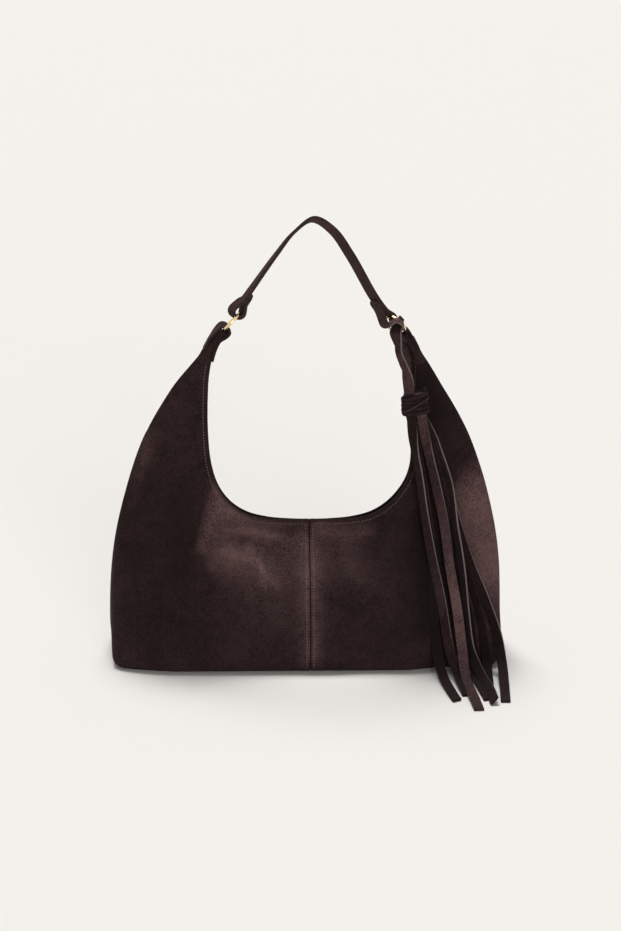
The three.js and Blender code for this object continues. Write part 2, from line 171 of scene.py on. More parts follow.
# %% Bands
def band(
    name, spots, ways, width, thickness, materials, rounding=0.4, swell=None, nap_and_shading=None, tip=0, edges=(4, 9)
):
    """A flat band along spots. ways gives the direction of its width, and tip cuts its end at a slant.
    swell widens it along the way. The faces numbered in edges take the last material."""
    spots = np.asarray(spots, dtype=float)
    along = unit(np.gradient(spots, axis=0))
    ways = np.asarray(ways, dtype=float)
    across = unit(ways - (ways * along).sum(1, keepdims=True) * along)
    face = np.cross(along, across)
    w, t, r = width / 2, thickness / 2, rounding
    outline = [(-w, -t + r), (-w + r, -t), (0, -t * 1.05), (w - r, -t), (w, -t + r)]
    outline += [(w, t - r), (w - r, t), (0, t * 1.05), (-w + r, t), (-w, t - r)]
    grow = np.ones(len(spots)) if swell is None else np.asarray(swell)
    rings = []
    for i, spot in enumerate(spots):
        for x, y in outline:
            slant = tip * x if i == len(spots) - 1 else 0
            rings.append(spot + across[i] * x * grow[i] + face[i] * y + along[i] * slant)
    m = len(outline)
    faces, which = [], []
    for i in range(len(spots) - 1):
        for n in range(m):
            a, b = i * m + n, i * m + (n + 1) % m
            faces.append((a, b, b + m, a + m))
            which.append(len(materials) - 1 if n in edges else 0)
    faces.append(tuple(range(m))[::-1])
    faces.append(tuple(range((len(spots) - 1) * m, len(spots) * m)))
    which += [0, 0]
    shade = None if nap_and_shading is None else np.repeat(np.broadcast_to(nap_and_shading, len(spots)), m)
    return make_mesh(name, rings, faces, materials, which, 35, shade)


# %% [markdown]
# ## Finishes
#
# Every colour is written as an sRGB hex value and turned to linear light in one place. One small function
# adds a shader node with its settings and its inputs.

# %% Colour and node helpers
def colour(code):
    """An sRGB hex value as linear red, green, blue and alpha."""
    parts = [int(code[i : i + 2], 16) / 255 for i in (1, 3, 5)]
    linear = [c / 12.92 if c <= 0.04045 else ((c + 0.055) / 1.055) ** 2.4 for c in parts]
    return (*linear, 1)


def fill(tree, node, inputs):
    """Sets a node's inputs: another node's output is linked, and anything else is a plain value."""
    for socket, value in inputs.items():
        if isinstance(value, bpy.types.NodeSocket):
            tree.links.new(value, node.inputs[socket])
        else:
            node.inputs[socket].default_value = value


def add_node(tree, kind, inputs=None, **settings):
    """Adds a shader node of a kind, such as Math, with its own settings and its inputs."""
    node = tree.nodes.new("ShaderNode" + kind)
    for key, value in settings.items():
        setattr(node, key, value)
    fill(tree, node, inputs or {})
    return node


def new_material(name):
    """An empty material with its node tree and its shader."""
    material = bpy.data.materials.new(name)
    material.use_nodes = True
    return material, material.node_tree, material.node_tree.nodes["Principled BSDF"]


# %% [markdown]
# Suede is the napped flesh side of split leather. Its short fibres lie one way or the other where a hand
# has brushed them, which gives soft lighter and darker patches and no gloss. The patches are three
# noises: cloudy areas, brush marks, and tufts of fibres, which are coarser than real so that they show.
# Folds, seams, strips and stitches carry a nap and shading value on the mesh, which lightens or darkens
# them. It is partly rubbed and laid nap and partly painted light and shade: the lit right side, and
# painted shade beside the strips, on the right horn, in the seam's groove and on the strips behind.

# %% Chocolate suede
CLOUD, BRUSH_MARK, TUFT = 0.045, 0.008, 0.0018


def chocolate_suede(name, dark, middle, light):
    """Suede in three tones: shaded nap and painted shade, plain nap, and rubbed nap and painted light."""
    material, tree, shader = new_material(name)
    place = add_node(tree, "TexCoord").outputs["Object"]
    clouds = add_node(
        tree, "TexNoise", {"Vector": place, "Scale": 1 / CLOUD, "Detail": 3, "Distortion": 0.7}
    ).outputs["Fac"]
    brushed = add_node(
        tree, "TexNoise", {"Vector": place, "Scale": 1 / BRUSH_MARK, "Detail": 4, "Roughness": 0.6}
    ).outputs["Fac"]
    tufts = add_node(
        tree, "TexNoise", {"Vector": place, "Scale": 1 / TUFT, "Detail": 3, "Roughness": 0.65}
    ).outputs["Fac"]
    marks = add_node(tree, "Math", {0: brushed, 1: 0.8, 2: clouds}, operation="MULTIPLY_ADD").outputs[0]
    grain = add_node(tree, "Math", {0: tufts, 1: 2, 2: marks}, operation="MULTIPLY_ADD").outputs[0]
    shade = add_node(tree, "MapRange", {"Value": grain, "From Min": 1.38, "From Max": 2.4}).outputs[0]
    plain = add_node(tree, "Mix", {0: shade, 6: colour(dark), 7: colour(middle)}, data_type="RGBA")
    nap_and_shading = add_node(tree, "Attribute", attribute_name="nap_and_shading").outputs["Fac"]
    tufted = add_node(tree, "MapRange", {"Value": shade, "To Min": 0.2, "To Max": 1.65}).outputs[0]
    speckled = add_node(tree, "Math", {0: nap_and_shading, 1: tufted}, operation="MULTIPLY").outputs[0]
    # Painted light and shade: a nap and shading value above zero mixes towards the light tone, one below
    # zero towards the dark tone.
    rubbed_and_lit = add_node(tree, "Mix", {0: speckled, 6: plain.outputs[2], 7: colour(light)}, data_type="RGBA")
    laid_and_shaded = add_node(tree, "Math", {0: nap_and_shading, 1: -0.8}, operation="MULTIPLY", use_clamp=True).outputs[0]
    toned = add_node(tree, "Mix", {0: laid_and_shaded, 6: rubbed_and_lit.outputs[2], 7: colour(dark)}, data_type="RGBA")
    bump = add_node(tree, "Bump", {"Height": grain, "Strength": 0.35, "Distance": 0.0005})
    finish = {"Base Color": toned.outputs[2], "Normal": bump.outputs["Normal"]}
    finish |= {"Roughness": 0.95, "Specular IOR Level": 0.12}
    finish |= {"Sheen Weight": 0.12, "Sheen Roughness": 0.5, "Sheen Tint": colour("#8f7573")}
    fill(tree, shader, finish)
    return material


body_suede = chocolate_suede("chocolate_suede", "#130b0c", "#362526", "#654d4c")
# The fringe's darkest tone is a little deeper, which deepens the painted shade on the strips behind.
strip_suede = chocolate_suede("fringe_suede", "#0d0707", "#382627", "#664e4d")

# %% [markdown]
# A strip that is cut and left raw shows the leather's grey-brown inner fibres at its edges. The rim's
# turned edge is dressed with a dark flexible paint, which reads as a thin dark line. The same dark colour
# on the narrow edges of the wrap's thong is painted shade in the grooves between its turns.

# %% Cut edge and edge paint
FIBRES, PAINT_COATS = 0.0012, 0.004
cut_edge, tree, shader = new_material("raw_cut_edge")
place = add_node(tree, "TexCoord").outputs["Object"]
fibres = add_node(tree, "TexNoise", {"Vector": place, "Scale": 1 / FIBRES, "Detail": 3}).outputs["Fac"]
tone = add_node(tree, "Mix", {0: fibres, 6: colour("#4c4241"), 7: colour("#807673")}, data_type="RGBA")
rough = add_node(tree, "Bump", {"Height": fibres, "Strength": 0.4, "Distance": 0.0003})
fill(tree, shader, {"Base Color": tone.outputs[2], "Normal": rough.outputs["Normal"]})
fill(tree, shader, {"Roughness": 0.95, "Specular IOR Level": 0.15})

edge_paint_and_groove_shade, tree, shader = new_material("dark_edge_paint_and_groove_shade")
place = add_node(tree, "TexCoord").outputs["Object"]
coats = add_node(tree, "TexNoise", {"Vector": place, "Scale": 1 / PAINT_COATS, "Detail": 2}).outputs["Fac"]
tone = add_node(tree, "Mix", {0: coats, 6: colour("#140e0f"), 7: colour("#231819")}, data_type="RGBA")
fill(tree, shader, {"Base Color": tone.outputs[2], "Roughness": 0.85, "Specular IOR Level": 0.1})

# %% [markdown]
# Sewing thread is twisted polyester, a shade lighter than the suede, with a slight silk. Painted shade
# darkens it where it dips into the leather and where the suede under it carries painted shade. The lining
# is a plain dark cotton weave: two sets of threads that cross.
# They are drawn about 6 mm apart, far coarser than the real half millimetre, so that they show inside the
# mouth. The wave node turns by 20 radians in a length of 1, and a whole turn is one thread.

# %% Thread and lining
THREAD_TWIST, WEAVE_SPACING, WAVE_RADIANS = 0.0009, math.tau * MM, 20
sewing_thread, tree, shader = new_material("polyester_thread")
place = add_node(tree, "TexCoord").outputs["Object"]
twist = add_node(tree, "TexNoise", {"Vector": place, "Scale": 1 / THREAD_TWIST, "Detail": 1}).outputs["Fac"]
tone = add_node(tree, "Mix", {0: twist, 6: colour("#4f3e3c"), 7: colour("#74615d")}, data_type="RGBA")
nap_and_shading = add_node(tree, "Attribute", attribute_name="nap_and_shading").outputs["Fac"]
# Painted shade: the thread darkens where its value is below zero.
thread_shade = add_node(tree, "Math", {0: nap_and_shading, 1: -1}, operation="MULTIPLY", use_clamp=True).outputs[0]
tone = add_node(tree, "Mix", {0: thread_shade, 6: tone.outputs[2], 7: colour("#150e0f")}, data_type="RGBA")
fill(tree, shader, {"Base Color": tone.outputs[2], "Roughness": 0.55})

lining_cotton, tree, shader = new_material("dark_cotton_weave")
place = add_node(tree, "TexCoord").outputs["Object"]
threads = {"Vector": place, "Scale": math.tau / WAVE_RADIANS / WEAVE_SPACING, "Distortion": 0.6}
warp = add_node(tree, "TexWave", threads, bands_direction="X").outputs["Fac"]
weft = add_node(tree, "TexWave", threads, bands_direction="Z").outputs["Fac"]
weave = add_node(tree, "Math", {0: warp, 1: weft}, operation="MULTIPLY").outputs[0]
tone = add_node(tree, "Mix", {0: weave, 6: colour("#241b19"), 7: colour("#3d302c")}, data_type="RGBA")
cloth = add_node(tree, "Bump", {"Height": weave, "Strength": 0.3, "Distance": 0.0003})
fill(tree, shader, {"Base Color": tone.outputs[2], "Normal": cloth.outputs["Normal"], "Roughness": 0.9})

# %% [markdown]
# The rings are cast zinc with a thin pale gold plating. Metal shows what is around it, so its colour is
# set once and only its roughness changes a little, where handling has left hairline marks.

# %% Pale gold plating
HAIRLINES = 0.002
gold_plate, tree, shader = new_material("pale_gold_plating")
place = add_node(tree, "TexCoord").outputs["Object"]
handling = add_node(tree, "TexNoise", {"Vector": place, "Scale": 1 / HAIRLINES, "Detail": 3}).outputs["Fac"]
marks = add_node(tree, "MapRange", {"Value": handling, "To Min": 0.08, "To Max": 0.26})
fill(tree, shader, {"Base Color": colour("#ecd0a2"), "Metallic": 1, "Roughness": marks.outputs["Result"]})
print("finishes:", [m.name for m in bpy.data.materials if m.use_nodes])

# %% [markdown]
# ## The shape of the bag
#
# The body is drawn as a maker would grade a pattern: half its width at each height (the side seam), how
# full it is from front to back, and how square its corners are. The mouth is one drawn curve. The front
# and back are pinched together at the middle of the mouth, where the leather hangs slack. Last, the whole
# body slumps a little under its own weight, as a soft bag does on a table.

# %% Drawn curves
BODY_WIDTH, BASE_DEPTH, HORN_HEIGHT = 407, 110, 340
RIM_HEIGHT, MOUTH_WIDTH = 148.5, 207
SUEDE = 1.8
SIDE_SEAM = [(0, 0.983), (0.118, 1), (0.324, 0.982), (0.506, 0.922)]
SIDE_SEAM += [(0.688, 0.823), (0.847, 0.678), (1, 0.497)]
FULLNESS = [(0, 1), (0.118, 0.97), (0.235, 0.78), (0.353, 0.52), (0.441, 0.33)]
FULLNESS += [(0.588, 0.28), (0.735, 0.235), (0.882, 0.155), (1, 0.09)]
SQUARENESS = [(0, 13), (0.176, 4.6), (0.441, 2.7), (1, 2.2)]
RIM_ACROSS = [0, 0.22, 0.42, 0.62, 0.78, 0.9, 0.97, 1, 0.997, 0.965, 0.885]
RIM_RISE = [0, 0.001, 0.006, 0.03, 0.085, 0.175, 0.3, 0.48, 0.7, 0.9, 1]
PINCH_ACROSS, PINCH_SHARE = 60, 0.62
MOUTH_SLACK, MOUTH_REACH = 0.55, 32
RIM_POINTS = []
for a, r in zip(RIM_ACROSS, RIM_RISE):
    RIM_POINTS.append((a * MOUTH_WIDTH / 2, 0, RIM_HEIGHT + r * (HORN_HEIGHT - RIM_HEIGHT)))
RIM_LINE = smooth_path(RIM_POINTS, 40)[0][:, ::2]


def drawn(pairs, at):
    """A smooth curve through (position, value) pairs, read at any positions."""
    p = np.array(pairs)
    at = np.clip(at, p[0, 0], p[-1, 0])
    i = np.clip(np.searchsorted(p[:, 0], at, side="right") - 1, 0, len(p) - 2)
    before, after = p[np.maximum(i - 1, 0)], p[np.minimum(i + 2, len(p) - 1)]
    a, b = p[i], p[i + 1]
    step = b[..., 0] - a[..., 0]
    t = (at - a[..., 0]) / step
    leave = (b[..., 1] - before[..., 1]) / (b[..., 0] - before[..., 0]) * step
    arrive = (after[..., 1] - a[..., 1]) / (after[..., 0] - a[..., 0]) * step
    start = a[..., 1] * (2 * t**3 - 3 * t**2 + 1) + leave * (t**3 - 2 * t**2 + t)
    return start + b[..., 1] * (3 * t**2 - 2 * t**3) + arrive * (t**3 - t**2)


def ease(low, high, at):
    """0 below low, 1 above high and a soft step in between."""
    t = np.clip((at - low) / (high - low), 0, 1)
    return t * t * (3 - 2 * t)


print("rim from", RIM_POINTS[0], "to", RIM_POINTS[-1])

# %% Plain surface
def far_from(x, z, line):
    """How far points of the front or back lie from a line of points, as across and height."""
    best = np.full(np.shape(x), 1e9)
    for (ax, az), (bx, bz) in zip(line, line[1:]):
        run = (bx - ax) ** 2 + (bz - az) ** 2
        t = np.clip(((x - ax) * (bx - ax) + (z - az) * (bz - az)) / run, 0, 1)
        best = np.minimum(best, np.hypot(x - ax - t * (bx - ax), z - az - t * (bz - az)))
    return best


def half_width(z):
    """How far across the side seam lies at a height."""
    return BODY_WIDTH / 2 * drawn(SIDE_SEAM, np.asarray(z) / HORN_HEIGHT)


def body_point(turn, z):
    """A point of the plain outside: turn 0 is the centre seam and a quarter turn the side seam."""
    power = drawn(SQUARENESS, z / HORN_HEIGHT)
    s, c = np.sin(turn), np.cos(turn)
    reach = (np.abs(s) ** power + np.abs(c) ** power) ** (1 / power)
    x = half_width(z) * s / reach
    depth = BASE_DEPTH / 2 * drawn(FULLNESS, z / HORN_HEIGHT)
    pinch = PINCH_SHARE * np.exp(-((x / PINCH_ACROSS) ** 2)) * ease(0.55 * RIM_HEIGHT, RIM_HEIGHT, z)
    slack = 1 - MOUTH_SLACK * np.exp(-((far_from(np.abs(x), z + 0 * x, RIM_LINE) / MOUTH_REACH) ** 2))
    closed = 1 - 0.7 * ease(0.93 * HORN_HEIGHT, HORN_HEIGHT, z)
    return np.stack([x, -depth * c / reach * (1 - pinch) * slack * closed, z + 0 * x], axis=-1)


def body_normal(turn, z):
    """The way out of the plain outside, from small steps round and up."""
    dt, dz = 0.002, 0.2
    round_way = body_point(turn + dt, z) - body_point(turn - dt, z)
    up_way = body_point(turn, z + dz) - body_point(turn, np.maximum(z - dz, 0))
    return unit(np.cross(round_way, up_way))


def turn_at(x, z):
    """The turn at which the section at a height reaches a distance across."""
    share = np.minimum(np.abs(x) / half_width(z), 0.9999)
    power = drawn(SQUARENESS, np.asarray(z) / HORN_HEIGHT)
    return np.arctan2(share, (1 - share**power) ** (1 / power))


print("widest", round(2 * half_width(0.118 * HORN_HEIGHT)), "mm")

# %% Slump
SIDE_SAG, SAG_FADES = 3, (285, 325)
BELLY, BELLY_LEFT, BELLY_RIGHT, BELLY_UP = 0.17, (130, 203), (96, 142), (5, 75)
CORNER_PUSH, CORNER_ACROSS, CORNER_HEIGHT, CORNER_REACH = 4, 98, 200, 30
RIM_DROP, BACK_DROPS_MORE, DROP_REACH, DROP_UP = 2.8, 0.6, 75, (60, 145)


def slumped(spots):
    """The soft body sags to its left and at the mouth, bellies at the foot and opens on the right."""
    spots = np.array(spots)
    x, z = spots[..., 0], spots[..., 2]
    front = spots[..., 1] < 0
    sag = SIDE_SAG * (x / half_width(z)) ** 2 * (1 - ease(*SAG_FADES, z))
    belly = (1 - ease(*BELLY_LEFT, -x)) * (1 - ease(*BELLY_RIGHT, x)) * (1 - ease(*BELLY_UP, z)) * front
    corner_across, corner_up = (x - CORNER_ACROSS) / CORNER_REACH, (z - CORNER_HEIGHT) / CORNER_REACH
    corner = CORNER_PUSH * np.exp(-(corner_across**2) - corner_up**2)
    drop = RIM_DROP + BACK_DROPS_MORE * np.sign(spots[..., 1])
    spots[..., 1] = spots[..., 1] * (1 + BELLY * belly)
    spots[..., 0] = x - sag + corner
    spots[..., 2] = z - drop * np.exp(-((x / DROP_REACH) ** 2)) * ease(*DROP_UP, z)
    return spots


print("the mouth's middle sinks to", slumped([vec(0, -1, RIM_HEIGHT)])[0])

# %% [markdown]
# ## Folds, seams, nap and painted light
#
# Soft leather keeps the folds it is used in. Each fold is a line of points on the front or the back, as
# across and height, followed by its width, its height and its nap and shading value. That value lightens
# most ridges and darkens most hollows, partly as rubbed and laid nap and partly as painted highlight and
# shade. Some folds are mostly painted light and shade: the lit right side, the shaded left side and right
# horn, and the shadows of the strips and the hanger's leg. The seams are shaped the same way: a raised
# allowance with a groove where the panels meet. The lower edge is rounded where it turns under to the
# base. A gentle unevenness, made of a few long waves, keeps large areas alive.

# %% Folds
FRONT_FOLDS = [
    ([(-93, 184), (-98, 166), (-103, 150), (-108, 135), (-112, 123)], 5, 2.4, 0.4),
    ([(-86, 166), (-93, 146), (-84, 130)], 14, 0, 0.3),
    # A hollow, darkened with painted shade.
    ([(-128, 172), (-131, 140), (-127, 108)], 14, -2.4, -0.35),
    ([(-88, 160), (-64, 145), (-38, 133), (-8, 127)], 8, 0.9, 0.25),
    ([(12, 138), (41, 134), (66, 139)], 7, 0.8, 0.35),
    ([(-97, 112), (-74, 107), (-41, 102)], 9, 1.4, 0.15),
    ([(-82, 141), (-71, 130)], 6, -1, -0.2),
    ([(-100, 128), (-60, 118), (-20, 104)], 28, 0, 0.2),
    ([(-163, 235), (-168, 217), (-171, 196)], 8, 0.8, 0.3),
    # Painted shade on the left side, away from the light.
    ([(-150, 170), (-165, 110), (-150, 40)], 30, 0, -0.35),
    # Painted light on the right side, which turns towards the light.
    ([(176, 178), (185, 140), (190, 96)], 27, 0.6, 0.8),
    # Painted shade on the right horn, in two parts.
    ([(104, 306), (120, 268)], 20, -1.5, -0.7),
    ([(118, 270), (146, 214)], 24, -0.8, -0.4),
    ([(-60, 88), (-48, 66), (-30, 54)], 11, 1.1, 0.12),
    # Painted shadow of the strips on the front, over a shallow hollow.
    ([(100, 140), (108, 100), (100, 40), (60, 30)], 26, -0.6, -0.35),
    ([(40, 112), (64, 88), (96, 74)], 13, 0.9, 0.15),
    ([(0, 120), (0, 20)], 9, 0, 0.4),
    ([(-92, 121), (-66, 113), (-44, 99), (-34, 88)], 3, 0.6, 0.3),
    ([(-62, 122), (-50, 104), (-47, 86)], 3, 0.5, 0.3),
    ([(-86, 140), (-60, 137), (-30, 131)], 2.5, 0.5, 0.3),
    # Painted shadow beside the hanger's leg.
    ([(94, 320), (101, 296), (104, 268)], 5, -1, -0.9),
    # Painted shadow of the strips on the front, in two parts.
    ([(110, 152), (116, 112), (119, 40)], 5, -0.6, -0.8),
    ([(116, 210), (128, 130), (138, 50)], 11, 0, -0.6),
]
BACK_FOLDS = [
    ([(104, 188), (110, 158), (120, 128)], 7, 2.2, 0.45),
    ([(-98, 186), (-107, 152), (-116, 124)], 8, 1.8, 0.35),
    ([(-70, 141), (-35, 132), (0, 128), (36, 133), (72, 142)], 8, 0.9, 0.25),
    ([(130, 165), (133, 135), (129, 108)], 14, -2, -0.2),
    ([(60, 100), (20, 84), (-40, 88)], 13, -1, -0.15),
    ([(-140, 90), (-118, 60), (-80, 46)], 12, 1, 0.15),
    ([(0, 120), (0, 6)], 13, 0, 0.25),
]
print(len(FRONT_FOLDS), "folds on the front,", len(BACK_FOLDS), "on the back")

# %% Relief
dice = random.Random(11)
WAVE_RANGES = ((45, 120), (0, math.pi), (0, 6.28), (0.15, 0.4))
WAVES = [[dice.uniform(*limits) for limits in WAVE_RANGES] for _ in range(9)]


def unevenness(x, z, shift):
    """The height of the long waves, each with a length, a direction, a phase and a height."""
    total = 0
    for length, way, phase, high in WAVES:
        far = x * math.cos(way) + z * math.sin(way)
        total = total + high * np.sin(far * 6.28 / length + phase + shift)
    return total


STITCH_FROM_RIM, STITCH_FROM_SEAM, THREAD_DENT = 4.6, 3.65, 0.3
SEAM_RAISED, SEAM_ALLOWANCE, SEAM_GROOVE, SEAM_GROOVE_WIDTH = 0.45, (5, 7.5), 1.1, 0.65
RIM_RAISED, RIM_ALLOWANCE, RIM_ROUND, RIM_ROUND_WIDTH = 0.5, (6, 8.5), 0.7, 1.4
SIDE_RAISED, SIDE_ALLOWANCE, SIDE_GROOVE, SIDE_GROOVE_WIDTH = 0.5, (3, 7), 1.2, 0.9
FOOT_ROUND, NAP_AND_SHADING_SPREAD = 9, 1.35


def relief(x, z, to_rim, to_side, folds):
    """Height of the worked leather over the plain shape, and its nap and painted light and shade."""
    high = unevenness(x, z, len(folds)) * ease(2, 30, np.minimum(to_rim, to_side)) * ease(2, 25, z)
    nap_and_shading = 0 * x
    for line, wide, fold_high, fold_nap_and_shading in folds:
        away = far_from(x, z, line) / wide
        high = high + fold_high * np.exp(-(away**2)) * ease(0, 20, to_rim)
        nap_and_shading = nap_and_shading + fold_nap_and_shading * np.exp(-((away / NAP_AND_SHADING_SPREAD) ** 2))
    seam = np.abs(x)
    high = high + SEAM_RAISED * (1 - ease(*SEAM_ALLOWANCE, seam))
    high = high - SEAM_GROOVE * np.exp(-((seam / SEAM_GROOVE_WIDTH) ** 2))
    high = high - THREAD_DENT * np.exp(-(((seam - STITCH_FROM_SEAM) / 0.7) ** 2))
    # Painted shade in the seam's groove.
    nap_and_shading = nap_and_shading - 0.7 * np.exp(-((seam / 0.6) ** 2))
    high = high + RIM_RAISED * (1 - ease(*RIM_ALLOWANCE, to_rim))
    high = high - THREAD_DENT * np.exp(-(((to_rim - STITCH_FROM_RIM) / 0.8) ** 2))
    high = high - RIM_ROUND * (1 - ease(0, RIM_ROUND_WIDTH, to_rim))
    # The face is darkened along the rim's edge.
    nap_and_shading = nap_and_shading - 0.4 * np.exp(-((to_rim / 1.2) ** 2))
    high = high + SIDE_RAISED * (1 - ease(*SIDE_ALLOWANCE, to_side))
    high = high - SIDE_GROOVE * np.exp(-((to_side / SIDE_GROOVE_WIDTH) ** 2))
    under = np.clip(FOOT_ROUND - z, 0, FOOT_ROUND)
    high = high - (FOOT_ROUND - np.sqrt(FOOT_ROUND**2 - under**2))
    return high, np.clip(nap_and_shading, -1, 1)


print(len(WAVES), "waves of", [round(wave[0]) for wave in WAVES], "mm")

# %% [markdown]
# ## The four panels
#
# Front and back are each two pieces of suede sewn down the middle. One quarter of the body is a grid: its
# rows run from the centre seam or the rim out to the side seam, closer together at both ends, where seams
# and hems need detail. The grid is bent to the body's shape, pushed out by the relief, and given the
# leather's thickness.

# %% Panel grids
SEAM_ROWS, RIM_ROWS, COLUMNS = 64, 150, 84


def gathered(count, share):
    """Shares from 0 to 1 that lie closer together at both ends."""
    u = np.linspace(0, 1, count + 1)
    return u - share * np.sin(2 * math.pi * u) / (2 * math.pi)


rim_line = smooth_path(RIM_POINTS, RIM_ROWS + 1)[0]
meets_side = 0.25 * HORN_HEIGHT
seam_shares = gathered(SEAM_ROWS, 0.6)[:-1]
row_turn = np.concatenate([0 * seam_shares, turn_at(rim_line[:, 0], rim_line[:, 2])])
row_from = np.concatenate([seam_shares * RIM_HEIGHT, rim_line[:, 2]])
rim_shares = np.linspace(0, 1, RIM_ROWS + 1)
row_to = np.concatenate([seam_shares * meets_side, meets_side + (HORN_HEIGHT - meets_side) * rim_shares])
column = gathered(COLUMNS, 0.75)
grid_turn = row_turn[:, None] + (math.pi / 2 - row_turn[:, None]) * column
grid_z = row_from[:, None] + (row_to - row_from)[:, None] * column
grid_spots = body_point(grid_turn, grid_z)
grid_normals = body_normal(grid_turn, grid_z)


def nearest(spots, line):
    """The distance of each grid point from the nearest point of a line."""
    best = np.full(spots.shape[:-1], 1e9)
    for spot in line:
        best = np.minimum(best, np.linalg.norm(spots - spot, axis=-1))
    return best


rim_fine = smooth_path(RIM_POINTS, 500)[0]
rim_on_body = body_point(turn_at(rim_fine[:, 0], rim_fine[:, 2]), rim_fine[:, 2])
to_rim = nearest(grid_spots, rim_on_body)
to_side = nearest(grid_spots, grid_spots[:, -1])
print("a quarter of the body has", grid_turn.size, "points")

# %% Sheets of leather
def sheet_faces(rows, columns, start):
    """Quads between the points of a grid whose first point has the number start."""
    k, j = np.meshgrid(np.arange(rows - 1), np.arange(columns - 1), indexing="ij")
    a = start + k * columns + j
    return np.stack([a, a + 1, a + columns + 1, a + columns], axis=-1).reshape(-1, 4)


def leather_sheet(name, outer, inner, materials, nap_and_shading, turned):
    """A grid with thickness. Its four sides are closed with the last material."""
    rows, columns = outer.shape[:2]
    half = rows * columns
    top = sheet_faces(rows, columns, 0)
    bottom = sheet_faces(rows, columns, half)[:, ::-1]
    number = np.arange(half).reshape(rows, columns)
    around = np.concatenate([number[0], number[1:, -1], number[-1, -2::-1], number[-2:0:-1, 0]])
    ahead = np.roll(around, -1)
    sides = np.stack([ahead, around, around + half, ahead + half], axis=-1)
    faces = np.concatenate([top, bottom, sides])
    if turned:
        faces = faces[:, ::-1]
    which = np.zeros(len(faces), dtype=int)
    which[len(top) + len(bottom) :] = len(materials) - 1
    spots = np.concatenate([outer.reshape(-1, 3), inner.reshape(-1, 3)])
    shade = np.concatenate([nap_and_shading.ravel(), 0 * nap_and_shading.ravel()])
    return make_mesh(name, spots, faces.tolist(), materials, which, 60, shade)


print("a sheet of 3 by 3 points has", len(sheet_faces(3, 3, 0)), "quads a side")

# %% Panels
FACES = (("front", 1, FRONT_FOLDS), ("back", -1, BACK_FOLDS))
SIDES = (("left", -1), ("right", 1))
PANEL_GAP, OFF_TABLE = 0.1, 0.2
for face, depth, folds in FACES:
    for side, across in SIDES:
        flip = vec(across, depth, 1)
        high, nap_and_shading = relief(grid_spots[..., 0] * across, grid_z, to_rim, to_side, folds)
        outer = grid_spots + grid_normals * high[..., None]
        inner = grid_spots - grid_normals * (SUEDE - 0.5 * np.minimum(high, 0))[..., None]
        for layer in (outer, inner):
            layer[..., 0] = np.maximum(layer[..., 0], PANEL_GAP)
            layer[..., 1] = np.minimum(layer[..., 1], -PANEL_GAP)
            layer[..., 2] = np.maximum(layer[..., 2], OFF_TABLE)
        name = f"{face}_panel_{side}"
        outer, inner = slumped(outer * flip), slumped(inner * flip)
        turned = across * depth < 0
        piece = leather_sheet(name + "_suede", outer, inner, [body_suede, edge_paint_and_groove_shade], nap_and_shading, turned)
        settle(piece, "bag", "suede", name)

# %% [markdown]
# ## The base
#
# The bag stands on one oval-cornered piece of suede sewn inside the lower edges of the panels. It is a
# flat grid between the front and the back edge, a little soft, with its edges turned up into the seam.

# %% Base panel
BASE_INSET, BASE_THICKNESS = FOOT_ROUND + 1.2, 2.4
BASE_LIFT, EDGE_TURN_UP, EDGE_TURN_WIDTH = 0.3, 0.9, 4
edge_turn = np.linspace(0, math.pi / 2, 60)
edge = body_point(edge_turn, 0 * edge_turn) - BASE_INSET * body_normal(edge_turn, 0 * edge_turn)
edge[0, 0] = 0
edge[-1, 1] = 0
half_edge = np.concatenate([edge[::-1] * vec(-1, 1, 1), edge[1:]])
shares = gathered(24, 0.6)
base_grid = np.stack([half_edge * vec(1, 1 - 2 * s, 1) for s in shares])
to_edge = np.abs(half_edge[:, 1]) - np.abs(base_grid[..., 1])
soft = 0.12 * unevenness(base_grid[..., 0], base_grid[..., 1], 2) ** 2
base_low = base_grid.copy()
base_low[..., 2] = BASE_LIFT + EDGE_TURN_UP * (1 - ease(0, EDGE_TURN_WIDTH, to_edge)) + soft
base_high = base_low + vec(0, 0, BASE_THICKNESS)
base_layers = [slumped(base_low), slumped(base_high)]
base = leather_sheet("base_panel_suede", *base_layers, [body_suede, edge_paint_and_groove_shade], 0.1 + 0 * to_edge, True)
settle(base, "bag", "suede", "base_panel")

# %% [markdown]
# ## The lining
#
# A cotton pouch hangs inside the suede. It starts below a suede facing at the rim and is a little too
# large, so it lies in shallow folds. It is the same grid, sunk into the body, with its first columns left
# out.

# %% Lining pouch
LINING_DEPTH, LINING_FLOOR = 3.4, 4
FACING, HORN_FACING, RIM_LINED = 24, 0.6, 0.72
lining_spots, lining_faces = [], []
lining_rows = SEAM_ROWS + int(RIM_LINED * RIM_ROWS)
facing = np.where(np.arange(lining_rows) < SEAM_ROWS, FACING, HORN_FACING * FACING)
below_facing = (to_rim[:lining_rows, :COLUMNS] > facing[:, None]).ravel()
for depth in (1, -1):
    for across in (-1, 1):
        folds_in = 1.2 + unevenness(grid_spots[..., 0] * across, grid_z * 1.4, depth + across)
        sink = LINING_DEPTH + np.maximum(folds_in, 0) * ease(2, 20, to_side) * ease(4, 30, grid_z)
        pouch = grid_spots - grid_normals * sink[..., None]
        pouch[..., 0] = np.maximum(pouch[..., 0], 0)
        pouch[..., 1] = np.minimum(pouch[..., 1], 0)
        pouch[..., 2] = np.maximum(pouch[..., 2], LINING_FLOOR)
        pouch[:, -1, 1] = 0
        pouch[:SEAM_ROWS, 0, 0] = 0
        start = len(lining_spots)
        lining_spots.extend(slumped(pouch * vec(across, depth, 1)).reshape(-1, 3))
        quads = sheet_faces(lining_rows + 1, COLUMNS + 1, start)[below_facing]
        lining_faces.extend((quads if across * depth < 0 else quads[:, ::-1]).tolist())
floor_rows = []
